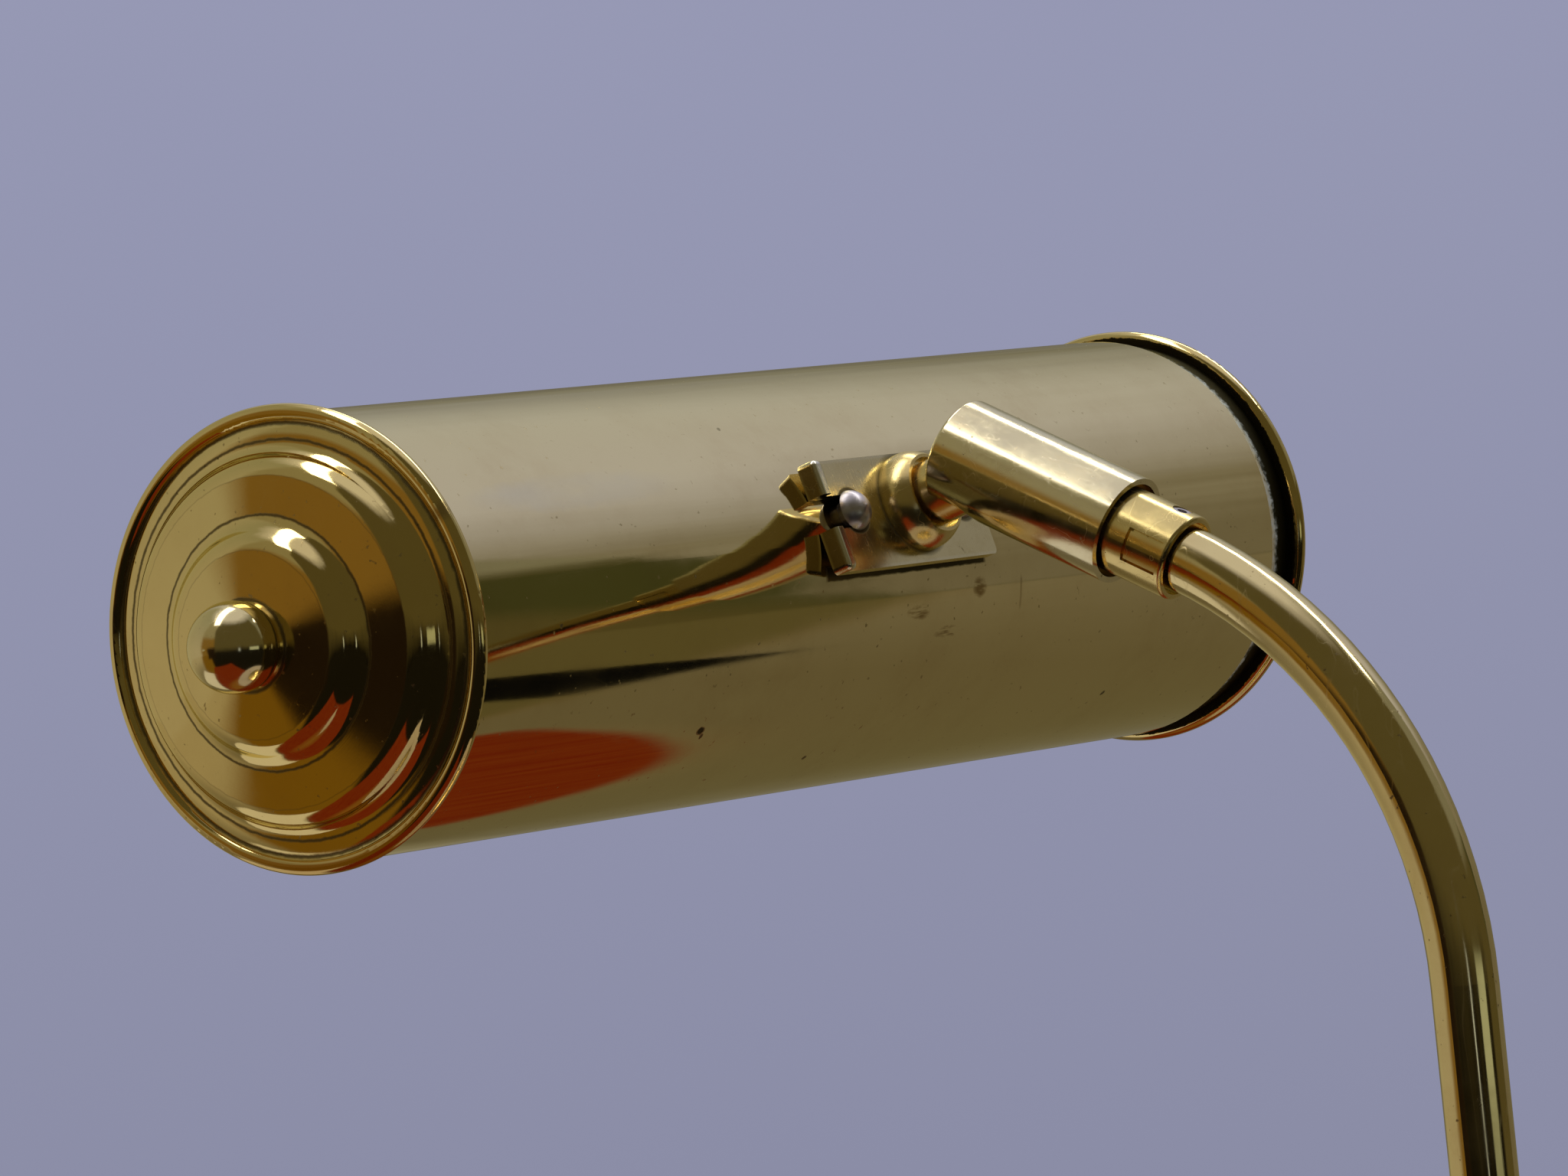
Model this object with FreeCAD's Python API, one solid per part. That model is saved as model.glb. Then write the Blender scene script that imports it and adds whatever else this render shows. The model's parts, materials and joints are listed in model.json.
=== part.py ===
import FreeCAD, Part
import math
import os

# A piano lamp in brass: a weighted round foot, a bent pipe, a ball joint in a short tube, and a
# tubular shade with turned end caps. Millimetres. Z is up and the pipe stands on the Z axis.
# The shade hangs out over -Y with its length along X.

V = FreeCAD.Vector
X, Y, Z = V(1, 0, 0), V(0, 1, 0), V(0, 0, 1)

# ---------------------------------------------------------------- driving dimensions
# clearances and edges
RUN = 0.05          # radial play of a turning fit
SEAT = 0.02         # play between round pieces that are screwed or pressed together
PASS = 0.3          # gap between faces that travel past each other
EASE = 0.5          # radius or bevel on a turned edge
BEYOND = 1.0        # how far a cutter reaches past what it cuts

# foot
FELT_T = 2.0
CLOSER_T = 1.2                          # steel plate that closes the underside
SKIRT_R = 72.5                          # upright wall of the spun cover
CLOSER_IN, FELT_IN, WEIGHT_IN = 1.0, 2.5, 2.0   # how far each stays inside the wall
COVER_WALL = 1.0
COVER_LIFT = 0.6                        # the cover's edge stands off the felt
FOOT_BEAD = 1.5
SHOULDER_R = 3.6
TERRACE_R = 44.5                        # inner radius of the cover's flat terrace
STEP_R = 2.6                            # bead between the terrace and the rise
RISE_R, RISE_H, RISE_SAG = 25.0, 7.0, 2.0   # hollow rise above the bead
CROWN_H = 1.2
WEIGHT_T = 14.6
HUB_R = 17.0
WELL_R, WEB_T = 15.0, 10.0              # well for the nuts, and the iron left above it
CHANNEL_W = 9.0                         # wire channel from the inlet to the well
SCREW_RING_R = 50.0
SCREW_COUNT, SCREW_TURN = 3, 30.0
SCREW_R, SCREW_HEAD_R, SCREW_L = 1.95, 3.25, 6.5

# pipe and its bearing in the foot
PIPE_R, PIPE_WALL = 5.0, 1.0
PIPE_FOOT = 4.2                         # height of the pipe's lower end
RISER_TOP = 208.0                       # where the upright run meets the bend
BEND_R = 72.5
ARM_ANGLE = 26.8                        # climb of the pipe's end above the horizontal
BUSH_SHANK_R = 7.5
BUSH_H = 14.0                           # height of the collar over the crown
BUSH_FOOT_R, BUSH_FOOT_H = 13.0, 2.2
BUSH_NECK_R = 7.4
BUSH_LIP_R, BUSH_LIP_H = 8.8, 3.4
BUSH_NUT_AF, BUSH_NUT_T = 20.0, 4.6
RING_R, RING_H, RING_BEAD_H = 7.6, 5.0, 3.4
ARM_NUT_R, ARM_NUT_T, ARM_NUT_SLOT = 7.4, 3.6, 1.6
ARM_WASHER_T = 0.8

# push switch in the terrace
SWITCH_RING_R = 55.0
SWITCH_TURN = -50.0                     # place on the terrace, degrees from +X
SWITCH_R, SWITCH_DEPTH, SWITCH_WELL = 7.0, 11.0, 4.5
SWITCH_NECK_R, SWITCH_NECK_H = 4.6, 4.2
SWITCH_NUT_R, SWITCH_NUT_T = 7.2, 2.2
FLUTE_R = 0.45
FLUTE_COUNT = 20
BUTTON_R, BUTTON_H, BUTTON_STROKE, BUTTON_PROUD = 3.3, 5.2, 2.0, 1.2

# cable inlet at the back of the foot
INLET_R = 2.9
GROMMET_WALL, GROMMET_FLANGE, GROMMET_LIP = 0.7, 1.4, 1.0

# ball joint tube, measured along its own axis from the closed end
TUBE_R, TUBE_WALL, TUBE_L = 8.3, 0.9, 31.5
BALL_PLAY = 0.1
NECK_R = 5.0
SLOT_CLEAR = 0.3
SLOT_END = 4.6                          # centre of the slot's round end
BUSH_WALL, SLEEVE_OUT = 0.75, 11.0      # bush round the sleeve; how far the sleeve stands out
PIPE_GRIP = 12.0                        # length of pipe held in the sleeve
BUSH_IN, TUBE_BUSH_L = 4.5, 3.5         # bush set back from the tube's mouth
CUP_L, CUP_HOLD = 4.6, 2.6              # length, and how far it reaches over the ball
CUP_BORE_R = 3.4
SPRING_T, SPRING_RISE, SPRING_BORE_R = 0.5, 0.34, 4.4
SPRING_COUNT = 3
MOUTH_GAP, MOUTH_L = 0.7, 1.4           # counterbore round the pipe in the sleeve's end
TONGUE_L, TONGUE_GAP = 6.2, 0.4
TONGUE_ANGLE = 46.0
TONGUE_FROM_TUBE, TONGUE_SLIT, TONGUE_SUNK = 3.8, 0.8, 0.12
GRUB_R, GRUB_SET_IN, GRUB_SUNK = 1.5, 3.0, 0.25

# neck, boss and saddle plate on the shade
NECK_ANGLE = 16.66                      # the neck's slope above the horizontal
NECK_L = 10.6                           # from the boss to the ball's centre
BOSS_R, BOSS_TOP_R, BOSS_H = 7.7, 6.2, 4.8
BOSS_EDGE, BOSS_BULGE = 0.8, 0.4        # straight foot, and roundness of the side
BOSS_SINK, BOSS_GAP = 1.0, 0.7          # the top is sunk round the neck
STEM_R, STEM_PROUD, WIRE_R = 4.0, 3.0, 2.4
PLATE_NEAR, PLATE_FAR, PLATE_W, PLATE_T = 23.8, 18.2, 17.4, 1.6
PLATE_DROP = 0.6                        # the plate sits this much below the neck's axis
PLATE_CORNER_R = 1.0
LIP_H, LIP_T, NOTCH_W = 1.5, 2.4, 5.2
LIP_TOP_R = 0.8
SADDLE_NEAR, SADDLE_FAR = 15.5, 13.0    # the two screws, either side of the neck
SADDLE_HEAD_R, SADDLE_HEAD_H, SADDLE_SHANK_R = 3.2, 2.5, 1.9
STEM_NUT_AF, STEM_NUT_T = 12.0, 3.6
NUT_AF, NUT_T = 6.6, 2.6

# shade
SHADE_R, SHADE_WALL = 32.25, 0.8
RIM_AT = 112.0                          # rim planes of the caps, from the middle
FAR_STANDOFF = 6.5                      # the far cap isn't pushed home
MOUTH_HALF_ANGLE = 58.0                 # half the opening, opposite the saddle
HEM_R = 1.5
CAP_R, CAP_WALL = 33.55, 0.8
RIM_T = 2.5                             # thickness of a cap's rolled rim
CAP_SKIRT, CAP_PLAY = 9.0, 0.1
RIM_CURL = 55.0                         # the rim's roll goes on this far past its crest
GROOVE_R, GROOVE_DEEP = 30.8, 0.7       # groove inside the rim, below the rim's crest
FACE_EDGE_SLOPE, FACE_SLOPE = 30.0, 5.0 # the cap's face between the groove and the outer ring
RING_A_FOOT, RING_A_SIDE, RING_A_TOP = 28.4, 26.4, 23.7     # radii of the outer ring's shoulder
RING_A_SLOPE, CONE_A_SLOPE = 70.0, 12.0
RING_B_FOOT, RING_B_SIDE, RING_B_TOP = 18.1, 15.9, 13.4     # radii of the inner ring's shoulder
RING_B_SLOPE, CONE_B_SLOPE = 60.0, 10.0
KNOB_SEAT_R = 6.4                       # small flat under the knob
KNOB_R, KNOB_RISE = 6.6, 3.2            # ball, and its centre above the flat
KNOB_STUD_R, KNOB_STUD_END = 2.0, 3.0
BRIDGE_GAP, BRIDGE_W, BRIDGE_T = 3.5, 12.0, 1.2
BRIDGE_TAB = 9.0

# lampholder and lamp
HOLDER_R, HOLDER_L = 12.5, 33.0
HOLDER_NECK_R, HOLDER_SHOULDER = 5.0, 8.0
HOLDER_STAND = 9.0                      # bracket's depth, clear of the cap's stud
HOLDER_NUT_T, HOLDER_BORE_R = 2.2, 2.5
BRACKET_CLEAR, BRACKET_FOOT, RIVET_R = 3.0, 8.0, 2.4
CONTACT_WALL = 1.1
LAMP_SUNK = 3.0                         # the lamp's cap ends this far inside the holder
E14_R, E14_THREAD, E14_PITCH, E14_TURNS = 6.9, 0.7, 2.8, 5
E14_TIP_R, E14_TIP_L = 2.2, 3.4
BULB_R, BULB_L = 12.5, 84.0
GLASS_T = 0.7
STEM_L, SUPPORT_L, SUPPORT_R, SUPPORT_GAP = 18.0, 60.0, 0.4, 3.0


# ---------------------------------------------------------------- drawing helpers
class Outline:
    """An outline in the (radius, height) plane, drawn point by point."""

    def __init__(self, r, z):
        self.start = self.here = V(r, 0, z)
        self.edges = []

    def to(self, r, z):
        there = V(r, 0, z)
        self.edges.append(Part.LineSegment(self.here, there).toShape())
        self.here = there
        return self

    def arc(self, mid_r, mid_z, r, z):
        there = V(r, 0, z)
        self.edges.append(Part.Arc(self.here, V(mid_r, 0, mid_z), there).toShape())
        self.here = there
        return self

    def about(self, centre_r, centre_z, r, z):
        """The shorter arc about a centre to the given end."""
        centre = V(centre_r, 0, centre_z)
        radius = (self.here - centre).Length
        middle = (self.here + V(r, 0, z)) * 0.5 - centre
        mid = centre + middle.normalize() * radius
        return self.arc(mid.x, mid.z, r, z)

    def bulge(self, r, z, rise):
        """A shallow arc that stands out to the right of its chord by rise."""
        chord = V(r, 0, z) - self.here
        side = V(chord.z, 0, -chord.x).normalize() * rise
        mid = (self.here + V(r, 0, z)) * 0.5 + side
        return self.arc(mid.x, mid.z, r, z)

    def climb(self, r, slope_from, slope_to):
        """A smooth run inwards to radius r, whose slope goes from one angle to the other."""
        first, last = math.radians(slope_from), math.radians(slope_to)
        middle = (first + last) / 2
        radius = (self.here.x - r) / (math.sin(last) - math.sin(first))
        mid_r = self.here.x - radius * (math.sin(middle) - math.sin(first))
        mid_z = self.here.z + radius * (math.cos(first) - math.cos(middle))
        return self.arc(mid_r, mid_z, r, self.here.z + radius * (math.cos(first) - math.cos(last)))

    def slant(self, r, slope):
        """A straight run inwards to radius r."""
        return self.to(r, self.here.z + (self.here.x - r) * math.tan(math.radians(slope)))

    def turned(self):
        if (self.here - self.start).Length > 1e-6:
            self.to(self.start.x, self.start.z)
        return Part.Face(Part.Wire(self.edges)).revolve(V(), Z, 360)

    def spun(self, wall):
        """Sheet metal: the open outline is its outer skin, and the wall lies within it."""
        skin = Part.Wire(self.edges)
        sides = [skin.makeOffset2D(side * wall, join=0, fill=True, openResult=True) for side in (1, -1)]
        within = min(sides, key=lambda face: face.BoundBox.XMax)
        return within.revolve(V(), Z, 360)


def cylinder(r, low, high, x=0.0, y=0.0):
    return Part.makeCylinder(r, high - low, V(x, y, low))


def tube(r_out, r_in, low, high):
    return cylinder(r_out, low, high).cut(cylinder(r_in, low - BEYOND, high + BEYOND))


def block(x0, x1, y0, y1, z0, z1):
    return Part.makeBox(x1 - x0, y1 - y0, z1 - z0, V(x0, y0, z0))


def hex_nut(across_flats, low, high, bore):
    """Hexagon nut with both faces bevelled to a circle."""
    corner = across_flats / math.sqrt(3)
    bevel = (corner - across_flats / 2) / 2
    corners = [V(corner * math.cos(a), corner * math.sin(a), low)
               for a in (math.radians(60 * i) for i in range(7))]
    body = Part.Face(Part.makePolygon(corners)).extrude(Z * (high - low))
    limit = Outline(0, low).to(across_flats / 2, low).to(corner, low + bevel)
    limit.to(corner, high - bevel).to(across_flats / 2, high).to(0, high)
    return body.common(limit.turned()).cut(cylinder(bore, low - BEYOND, high + BEYOND))


def around(shape, count, first=0.0):
    """Copies of a shape evenly spaced about Z."""
    copies = []
    for i in range(count):
        copy = shape.copy()
        copy.rotate(V(), Z, first + 360.0 * i / count)
        copies.append(copy)
    return copies


def along_x(shape):
    """Turns a shape made about Z so that its axis points along +X."""
    turned = shape.copy()
    turned.rotate(V(), Y, 90)
    return turned


# ---------------------------------------------------------------- places worked out from the sizes
CLOSER_TOP = FELT_T + CLOSER_T
CLOSER_R = SKIRT_R - COVER_WALL - CLOSER_IN
FELT_R = SKIRT_R - COVER_WALL - FELT_IN
WEIGHT_R = SKIRT_R - COVER_WALL - WEIGHT_IN
COVER_LOW = FELT_T + COVER_LIFT
BEAD_TOP = COVER_LOW + 2 * FOOT_BEAD
WEIGHT_TOP = CLOSER_TOP + WEIGHT_T
TERRACE_Z = WEIGHT_TOP + COVER_WALL
CROWN_Z = TERRACE_Z + STEP_R + RISE_H + CROWN_H
HUB_TOP = CROWN_Z - COVER_WALL
WELL_TOP = HUB_TOP - WEB_T
INLET_Z = (BEAD_TOP + TERRACE_Z - SHOULDER_R) / 2
GROMMET_R = INLET_R + GROMMET_WALL
CHANNEL_TOP = INLET_Z + INLET_R

BUSH_LOW = WELL_TOP - BUSH_NUT_T - EASE
BUSH_TOP = CROWN_Z + BUSH_H
ARM_WASHER_TOP = BUSH_LOW - RUN
ARM_NUT_TOP = ARM_WASHER_TOP - ARM_WASHER_T

PIPE_BORE = PIPE_R - PIPE_WALL
TUBE_BORE = TUBE_R - TUBE_WALL
BALL_R = TUBE_BORE - BALL_PLAY
SLEEVE_R = TUBE_BORE - BUSH_WALL
SLOT_R = NECK_R + SLOT_CLEAR
BALL_AT = TUBE_WALL + math.sqrt(BALL_R ** 2 - SLOT_R ** 2) + RUN
CUP_LOW = BALL_AT + BALL_R - CUP_HOLD
CUP_TOP = CUP_LOW + CUP_L
SPRING_PITCH = SPRING_T + SPRING_RISE
SLEEVE_LOW = CUP_TOP + SPRING_COUNT * SPRING_PITCH
TUBE_BUSH_TOP = TUBE_L - BUSH_IN
COLLAR_TOP = TUBE_BUSH_TOP - TUBE_BUSH_L - RUN
SLEEVE_END = TUBE_L + SLEEVE_OUT
PIPE_TIP = SLEEVE_END - PIPE_GRIP
GRUB_AT = SLEEVE_END - GRUB_SET_IN

climb = math.radians(ARM_ANGLE)
ALONG = V(0, math.cos(climb), -math.sin(climb))       # from the tube's closed end to the pipe
BEND_END = V(0, BEND_R * (math.sin(climb) - 1), RISER_TOP + BEND_R * math.cos(climb))
TUBE_START = BEND_END - ALONG * SLEEVE_END
BALL_CENTRE = TUBE_START + ALONG * BALL_AT

SHADE_BORE = SHADE_R - SHADE_WALL
PLATE_LOW = SHADE_R + SEAT
PLATE_TOP = PLATE_LOW + PLATE_T
BOSS_TOP = PLATE_TOP + BOSS_H
NECK_LOW = BOSS_TOP - BOSS_SINK
BALL_HEIGHT = BOSS_TOP + NECK_L
slope = math.radians(NECK_ANGLE)
OUTWARD = V(0, math.cos(slope), math.sin(slope))      # from the shade's axis to the ball
SHADE_CENTRE = BALL_CENTRE - OUTWARD * BALL_HEIGHT
NEAR_END = RIM_AT - RIM_T
FAR_END = RIM_AT - RIM_T - FAR_STANDOFF
BRIDGE_INSET = RIM_T + CAP_SKIRT + BRIDGE_GAP

BRIDGE_FACE = BRIDGE_INSET + BRIDGE_T - RIM_AT        # inner face of the far bridge, along X
HOLDER_FOOT = BRIDGE_FACE + HOLDER_STAND
HOLDER_MOUTH = HOLDER_FOOT + HOLDER_SHOULDER + HOLDER_L
E14_L = E14_PITCH * E14_TURNS + E14_THREAD
LAMP_FOOT = HOLDER_MOUTH - LAMP_SUNK - E14_L
GLASS_LOW = HOLDER_MOUTH - LAMP_SUNK + SEAT
E14_ROOT = E14_R - E14_THREAD


def in_tube(shape):
    """Places a shape drawn on the tube's axis; its +Y becomes the slotted underside."""
    placed = shape.copy()
    placed.rotate(V(), X, -(90 + ARM_ANGLE))
    placed.translate(TUBE_START)
    return placed


def in_shade(shape):
    """Places a shape drawn about the shade's middle with +Z towards the ball."""
    placed = shape.copy()
    placed.rotate(V(), X, NECK_ANGLE - 90)
    placed.translate(SHADE_CENTRE)
    return placed


def on_terrace(shape):
    """Moves a shape from the Z axis to the switch's place."""
    placed = shape.copy()
    placed.translate(V(SWITCH_RING_R, 0, 0))
    placed.rotate(V(), Z, SWITCH_TURN)
    return placed


# ---------------------------------------------------------------- foot
def felt_pad():
    return cylinder(FELT_R, 0, FELT_T)


def closing_plate():
    plate = cylinder(CLOSER_R, FELT_T, CLOSER_TOP)
    sink = Part.makeCone(SCREW_HEAD_R + SEAT, SCREW_R + SEAT, CLOSER_T, V(SCREW_RING_R, 0, FELT_T))
    return plate.cut(around(sink, SCREW_COUNT, SCREW_TURN))


def plate_screws():
    head = Part.makeCone(SCREW_HEAD_R, SCREW_R, CLOSER_T, V(SCREW_RING_R, 0, FELT_T))
    shank = cylinder(SCREW_R, CLOSER_TOP, CLOSER_TOP + SCREW_L, SCREW_RING_R)
    return Part.makeCompound(around(head.fuse(shank), SCREW_COUNT, SCREW_TURN))


def foot_weight():
    """Cast disc with a hub under the crown, a well for the nuts and channels for the wires."""
    edge = SHOULDER_R - COVER_WALL
    iron = Outline(0, CLOSER_TOP).to(WEIGHT_R, CLOSER_TOP).to(WEIGHT_R, WEIGHT_TOP - edge)
    iron.about(WEIGHT_R - edge, WEIGHT_TOP - edge, WEIGHT_R - edge, WEIGHT_TOP)
    iron.to(HUB_R, WEIGHT_TOP).to(HUB_R, HUB_TOP).to(0, HUB_TOP)
    low = CLOSER_TOP - BEYOND
    half = CHANNEL_W / 2
    inlet_way = block(-half, half, 0, SKIRT_R, low, CHANNEL_TOP)
    switch_way = block(0, SWITCH_RING_R, -half, half, low, CHANNEL_TOP)
    switch_way.rotate(V(), Z, SWITCH_TURN)
    cuts = [cylinder(WELL_R, low, WELL_TOP),
            cylinder(BUSH_SHANK_R + SEAT, low, HUB_TOP + BEYOND),
            on_terrace(cylinder(SWITCH_R + PASS, low, WEIGHT_TOP + BEYOND)),
            inlet_way, switch_way]
    hole = cylinder(SCREW_R + SEAT, low, CLOSER_TOP + SCREW_L + PASS, SCREW_RING_R)
    return iron.turned().cut(cuts + around(hole, SCREW_COUNT, SCREW_TURN))


def foot_cover():
    """Spun brass: foot bead, upright wall, terrace, quarter bead, hollow rise and flat crown."""
    skin = Outline(SKIRT_R, COVER_LOW)
    skin.arc(SKIRT_R + FOOT_BEAD, COVER_LOW + FOOT_BEAD, SKIRT_R, BEAD_TOP)
    skin.to(SKIRT_R, TERRACE_Z - SHOULDER_R)
    skin.about(SKIRT_R - SHOULDER_R, TERRACE_Z - SHOULDER_R, SKIRT_R - SHOULDER_R, TERRACE_Z)
    bead_r = TERRACE_R - STEP_R
    skin.to(TERRACE_R, TERRACE_Z).about(bead_r, TERRACE_Z, bead_r, TERRACE_Z + STEP_R)
    skin.to(bead_r - CROWN_H, TERRACE_Z + STEP_R)
    skin.bulge(RISE_R, TERRACE_Z + STEP_R + RISE_H, -RISE_SAG)
    skin.about(RISE_R - CROWN_H, CROWN_Z - CROWN_H, RISE_R - CROWN_H, CROWN_Z)
    skin.to(BUSH_SHANK_R + SEAT, CROWN_Z)
    neck_hole = cylinder(SWITCH_NECK_R + SEAT, WEIGHT_TOP, TERRACE_Z + BEYOND)
    inlet = Part.makeCylinder(GROMMET_R, SKIRT_R, V(0, SKIRT_R / 2, INLET_Z), Y)
    return skin.spun(COVER_WALL).cut([on_terrace(neck_hole), inlet])


def arm_bush():
    """Turned collar through the crown; its bore is the bearing of the pipe."""
    bore = PIPE_R + RUN
    foot_top = CROWN_Z + BUSH_FOOT_H
    lip_low = BUSH_TOP - BUSH_LIP_H
    skin = Outline(bore, BUSH_LOW).to(BUSH_SHANK_R, BUSH_LOW).to(BUSH_SHANK_R, CROWN_Z)
    skin.to(BUSH_FOOT_R - EASE, CROWN_Z).bulge(BUSH_FOOT_R - EASE, foot_top, EASE)
    skin.to(BUSH_FOOT_R - 3 * EASE, foot_top).bulge(BUSH_NECK_R, (foot_top + lip_low) / 2, -3 * EASE)
    skin.to(BUSH_NECK_R, lip_low).to(BUSH_LIP_R - EASE, lip_low).bulge(BUSH_LIP_R - EASE, BUSH_TOP, EASE)
    return skin.to(bore, BUSH_TOP).turned()


def bush_nut():
    return hex_nut(BUSH_NUT_AF, WELL_TOP - BUSH_NUT_T, WELL_TOP, BUSH_SHANK_R + SEAT)


def cable_grommet():
    """Rubber ring buttoned into the cover's wall; its bore takes the mains cable."""
    lip_r = GROMMET_R + GROMMET_LIP
    inside = SKIRT_R - COVER_WALL - GROMMET_FLANGE
    outside = SKIRT_R + GROMMET_FLANGE
    ring = Outline(INLET_R, inside).to(lip_r, inside).to(lip_r, outside - EASE)
    ring.about(lip_r - EASE, outside - EASE, lip_r - EASE, outside).to(INLET_R, outside)
    body = ring.turned()
    body.rotate(V(), X, -90)
    body.translate(V(0, 0, INLET_Z))
    wall = tube(SKIRT_R + SEAT, SKIRT_R - COVER_WALL - SEAT, 0, CROWN_Z)
    window = Part.makeCylinder(GROMMET_R - SEAT, 2 * SKIRT_R, V(0, 0, INLET_Z), Y)
    return body.cut(wall.cut(window))


def switch_body():
    """Push switch hung under the terrace by its threaded neck."""
    seat = WEIGHT_TOP
    top = TERRACE_Z + SWITCH_NECK_H
    case = cylinder(SWITCH_R, seat - SWITCH_DEPTH, seat)
    well = cylinder(BUTTON_R + RUN, seat - SWITCH_WELL, top + BEYOND)
    return on_terrace(case.fuse(cylinder(SWITCH_NECK_R, seat, top)).cut(well))


def switch_nut():
    """Round nut with a fluted edge that clamps the switch to the terrace."""
    high = TERRACE_Z + SWITCH_NUT_T
    edge = SWITCH_NUT_R - EASE
    skin = Outline(SWITCH_NECK_R + SEAT, TERRACE_Z).to(SWITCH_NUT_R, TERRACE_Z)
    skin.to(SWITCH_NUT_R, high - EASE).about(edge, high - EASE, edge, high).to(SWITCH_NECK_R + SEAT, high)
    flute = Part.makeCylinder(FLUTE_R, SWITCH_NUT_T + 2 * BEYOND, V(SWITCH_NUT_R, 0, TERRACE_Z - BEYOND))
    return on_terrace(skin.turned().cut(around(flute, FLUTE_COUNT)))


def switch_button():
    top = TERRACE_Z + SWITCH_NECK_H + BUTTON_STROKE + BUTTON_PROUD
    edge = BUTTON_R - 2 * EASE
    skin = Outline(0, top - BUTTON_H).to(BUTTON_R, top - BUTTON_H).to(BUTTON_R, top - 2 * EASE)
    skin.about(edge, top - 2 * EASE, edge, top).to(0, top)
    return on_terrace(skin.turned())


# ---------------------------------------------------------------- pipe
def bent_pipe():
    """Drawn pipe: an upright run, one bend, and a short straight end that enters the sleeve."""
    def run(r):
        upright = cylinder(r, PIPE_FOOT, RISER_TOP)
        disc = Part.Face(Part.Wire(Part.makeCircle(r, V(0, 0, RISER_TOP), Z)))
        bend = disc.revolve(V(0, -BEND_R, RISER_TOP), X, 90 - ARM_ANGLE)
        end = Part.makeCylinder(r, PIPE_GRIP, BEND_END, ALONG * -1)
        return upright.fuse([bend, end])
    return run(PIPE_R).cut(run(PIPE_BORE))


def arm_ring():
    """Shoulder on the pipe that rides on the bush."""
    low = BUSH_TOP + RUN
    bead_top = low + RING_BEAD_H
    bore = PIPE_R + SEAT
    skin = Outline(bore, low).to(RING_R - EASE, low).bulge(RING_R - EASE, bead_top, EASE)
    return skin.bulge(bore + EASE, low + RING_H, -EASE).to(bore, low + RING_H).turned()


def arm_washer():
    return tube(ARM_NUT_R, PIPE_R + SEAT, ARM_NUT_TOP, ARM_WASHER_TOP)


def arm_nut():
    """Slotted round nut that keeps the pipe down in its bush."""
    low = ARM_NUT_TOP - ARM_NUT_T
    ring = tube(ARM_NUT_R, PIPE_R + SEAT, low, ARM_NUT_TOP)
    half = ARM_NUT_SLOT / 2
    slot = block(-half, half, ARM_NUT_R - ARM_NUT_SLOT, ARM_NUT_R + BEYOND, low - BEYOND, low + ARM_NUT_SLOT)
    return ring.cut(around(slot, 4))


def swivel_sleeve():
    """Sleeve on the pipe's end. Its collar turns in the tube, held in by the bush."""
    collar_r = TUBE_BORE - RUN
    bore = PIPE_R + SEAT
    mouth_r = PIPE_R + MOUTH_GAP
    edge = SLEEVE_R - EASE
    skin = Outline(PIPE_BORE, SLEEVE_LOW).to(collar_r, SLEEVE_LOW).to(collar_r, COLLAR_TOP)
    skin.to(SLEEVE_R, COLLAR_TOP).to(SLEEVE_R, SLEEVE_END - EASE)
    skin.about(edge, SLEEVE_END - EASE, edge, SLEEVE_END).to(mouth_r, SLEEVE_END)
    skin.to(mouth_r, SLEEVE_END - MOUTH_L).to(bore, SLEEVE_END - MOUTH_L)
    skin.to(bore, PIPE_TIP - SEAT).to(PIPE_BORE, PIPE_TIP - SEAT)
    grub = Part.makeCylinder(GRUB_R + SEAT, SLEEVE_R, V(0, -PIPE_R, GRUB_AT), Y * -1)
    return in_tube(skin.turned().cut([grub] + tongue_cuts()))


def tongue_cuts():
    """On the +X side: a slit along three sides of a tongue, and the tongue's face sunk a little."""
    low = TUBE_L + TONGUE_FROM_TUBE
    high = low + TONGUE_L
    outside = SLEEVE_R + BEYOND
    angle = TONGUE_ANGLE - 2 * math.degrees(TONGUE_GAP / SLEEVE_R)
    ring = wedge_of(tube(outside, SLEEVE_R - TONGUE_SLIT, low, high), TONGUE_ANGLE)
    tongue = wedge_of(tube(outside + BEYOND, PIPE_R, low + TONGUE_GAP, high + BEYOND), angle)
    face = wedge_of(tube(outside, SLEEVE_R - TONGUE_SUNK, low, high), TONGUE_ANGLE)
    return [ring.cut(tongue), face]


def wedge_of(ring, angle):
    """The part of a ring within an angle centred on +X."""
    reach = 4 * SLEEVE_R
    wide = reach * math.tan(math.radians(angle / 2))
    corners = [V(), V(reach, -wide, 0), V(reach, wide, 0), V()]
    return ring.common(Part.Face(Part.makePolygon(corners)).extrude(Z * SLEEVE_END))


def sleeve_screw():
    length = SLEEVE_R - PIPE_R - SEAT - GRUB_SUNK
    start = V(0, -PIPE_R - SEAT, GRUB_AT)
    key = Part.makeCylinder(GRUB_R / 2, length, start - Y * (length / 2), Y * -1)
    return in_tube(Part.makeCylinder(GRUB_R, length, start, Y * -1).cut(key))


def disc_springs():
    """Cone washers, stacked tip to tip, that press the cup on the ball."""
    outer = TUBE_BORE - PASS
    washers = []
    for i in range(SPRING_COUNT):
        z = CUP_TOP + i * SPRING_PITCH
        at_bore, at_edge = (0, SPRING_RISE) if i % 2 else (SPRING_RISE, 0)
        cone = Outline(SPRING_BORE_R, z + at_bore).to(outer, z + at_edge)
        cone.to(outer, z + at_edge + SPRING_T).to(SPRING_BORE_R, z + at_bore + SPRING_T)
        washers.append(cone.turned())
    return in_tube(Part.makeCompound(washers))


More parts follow.
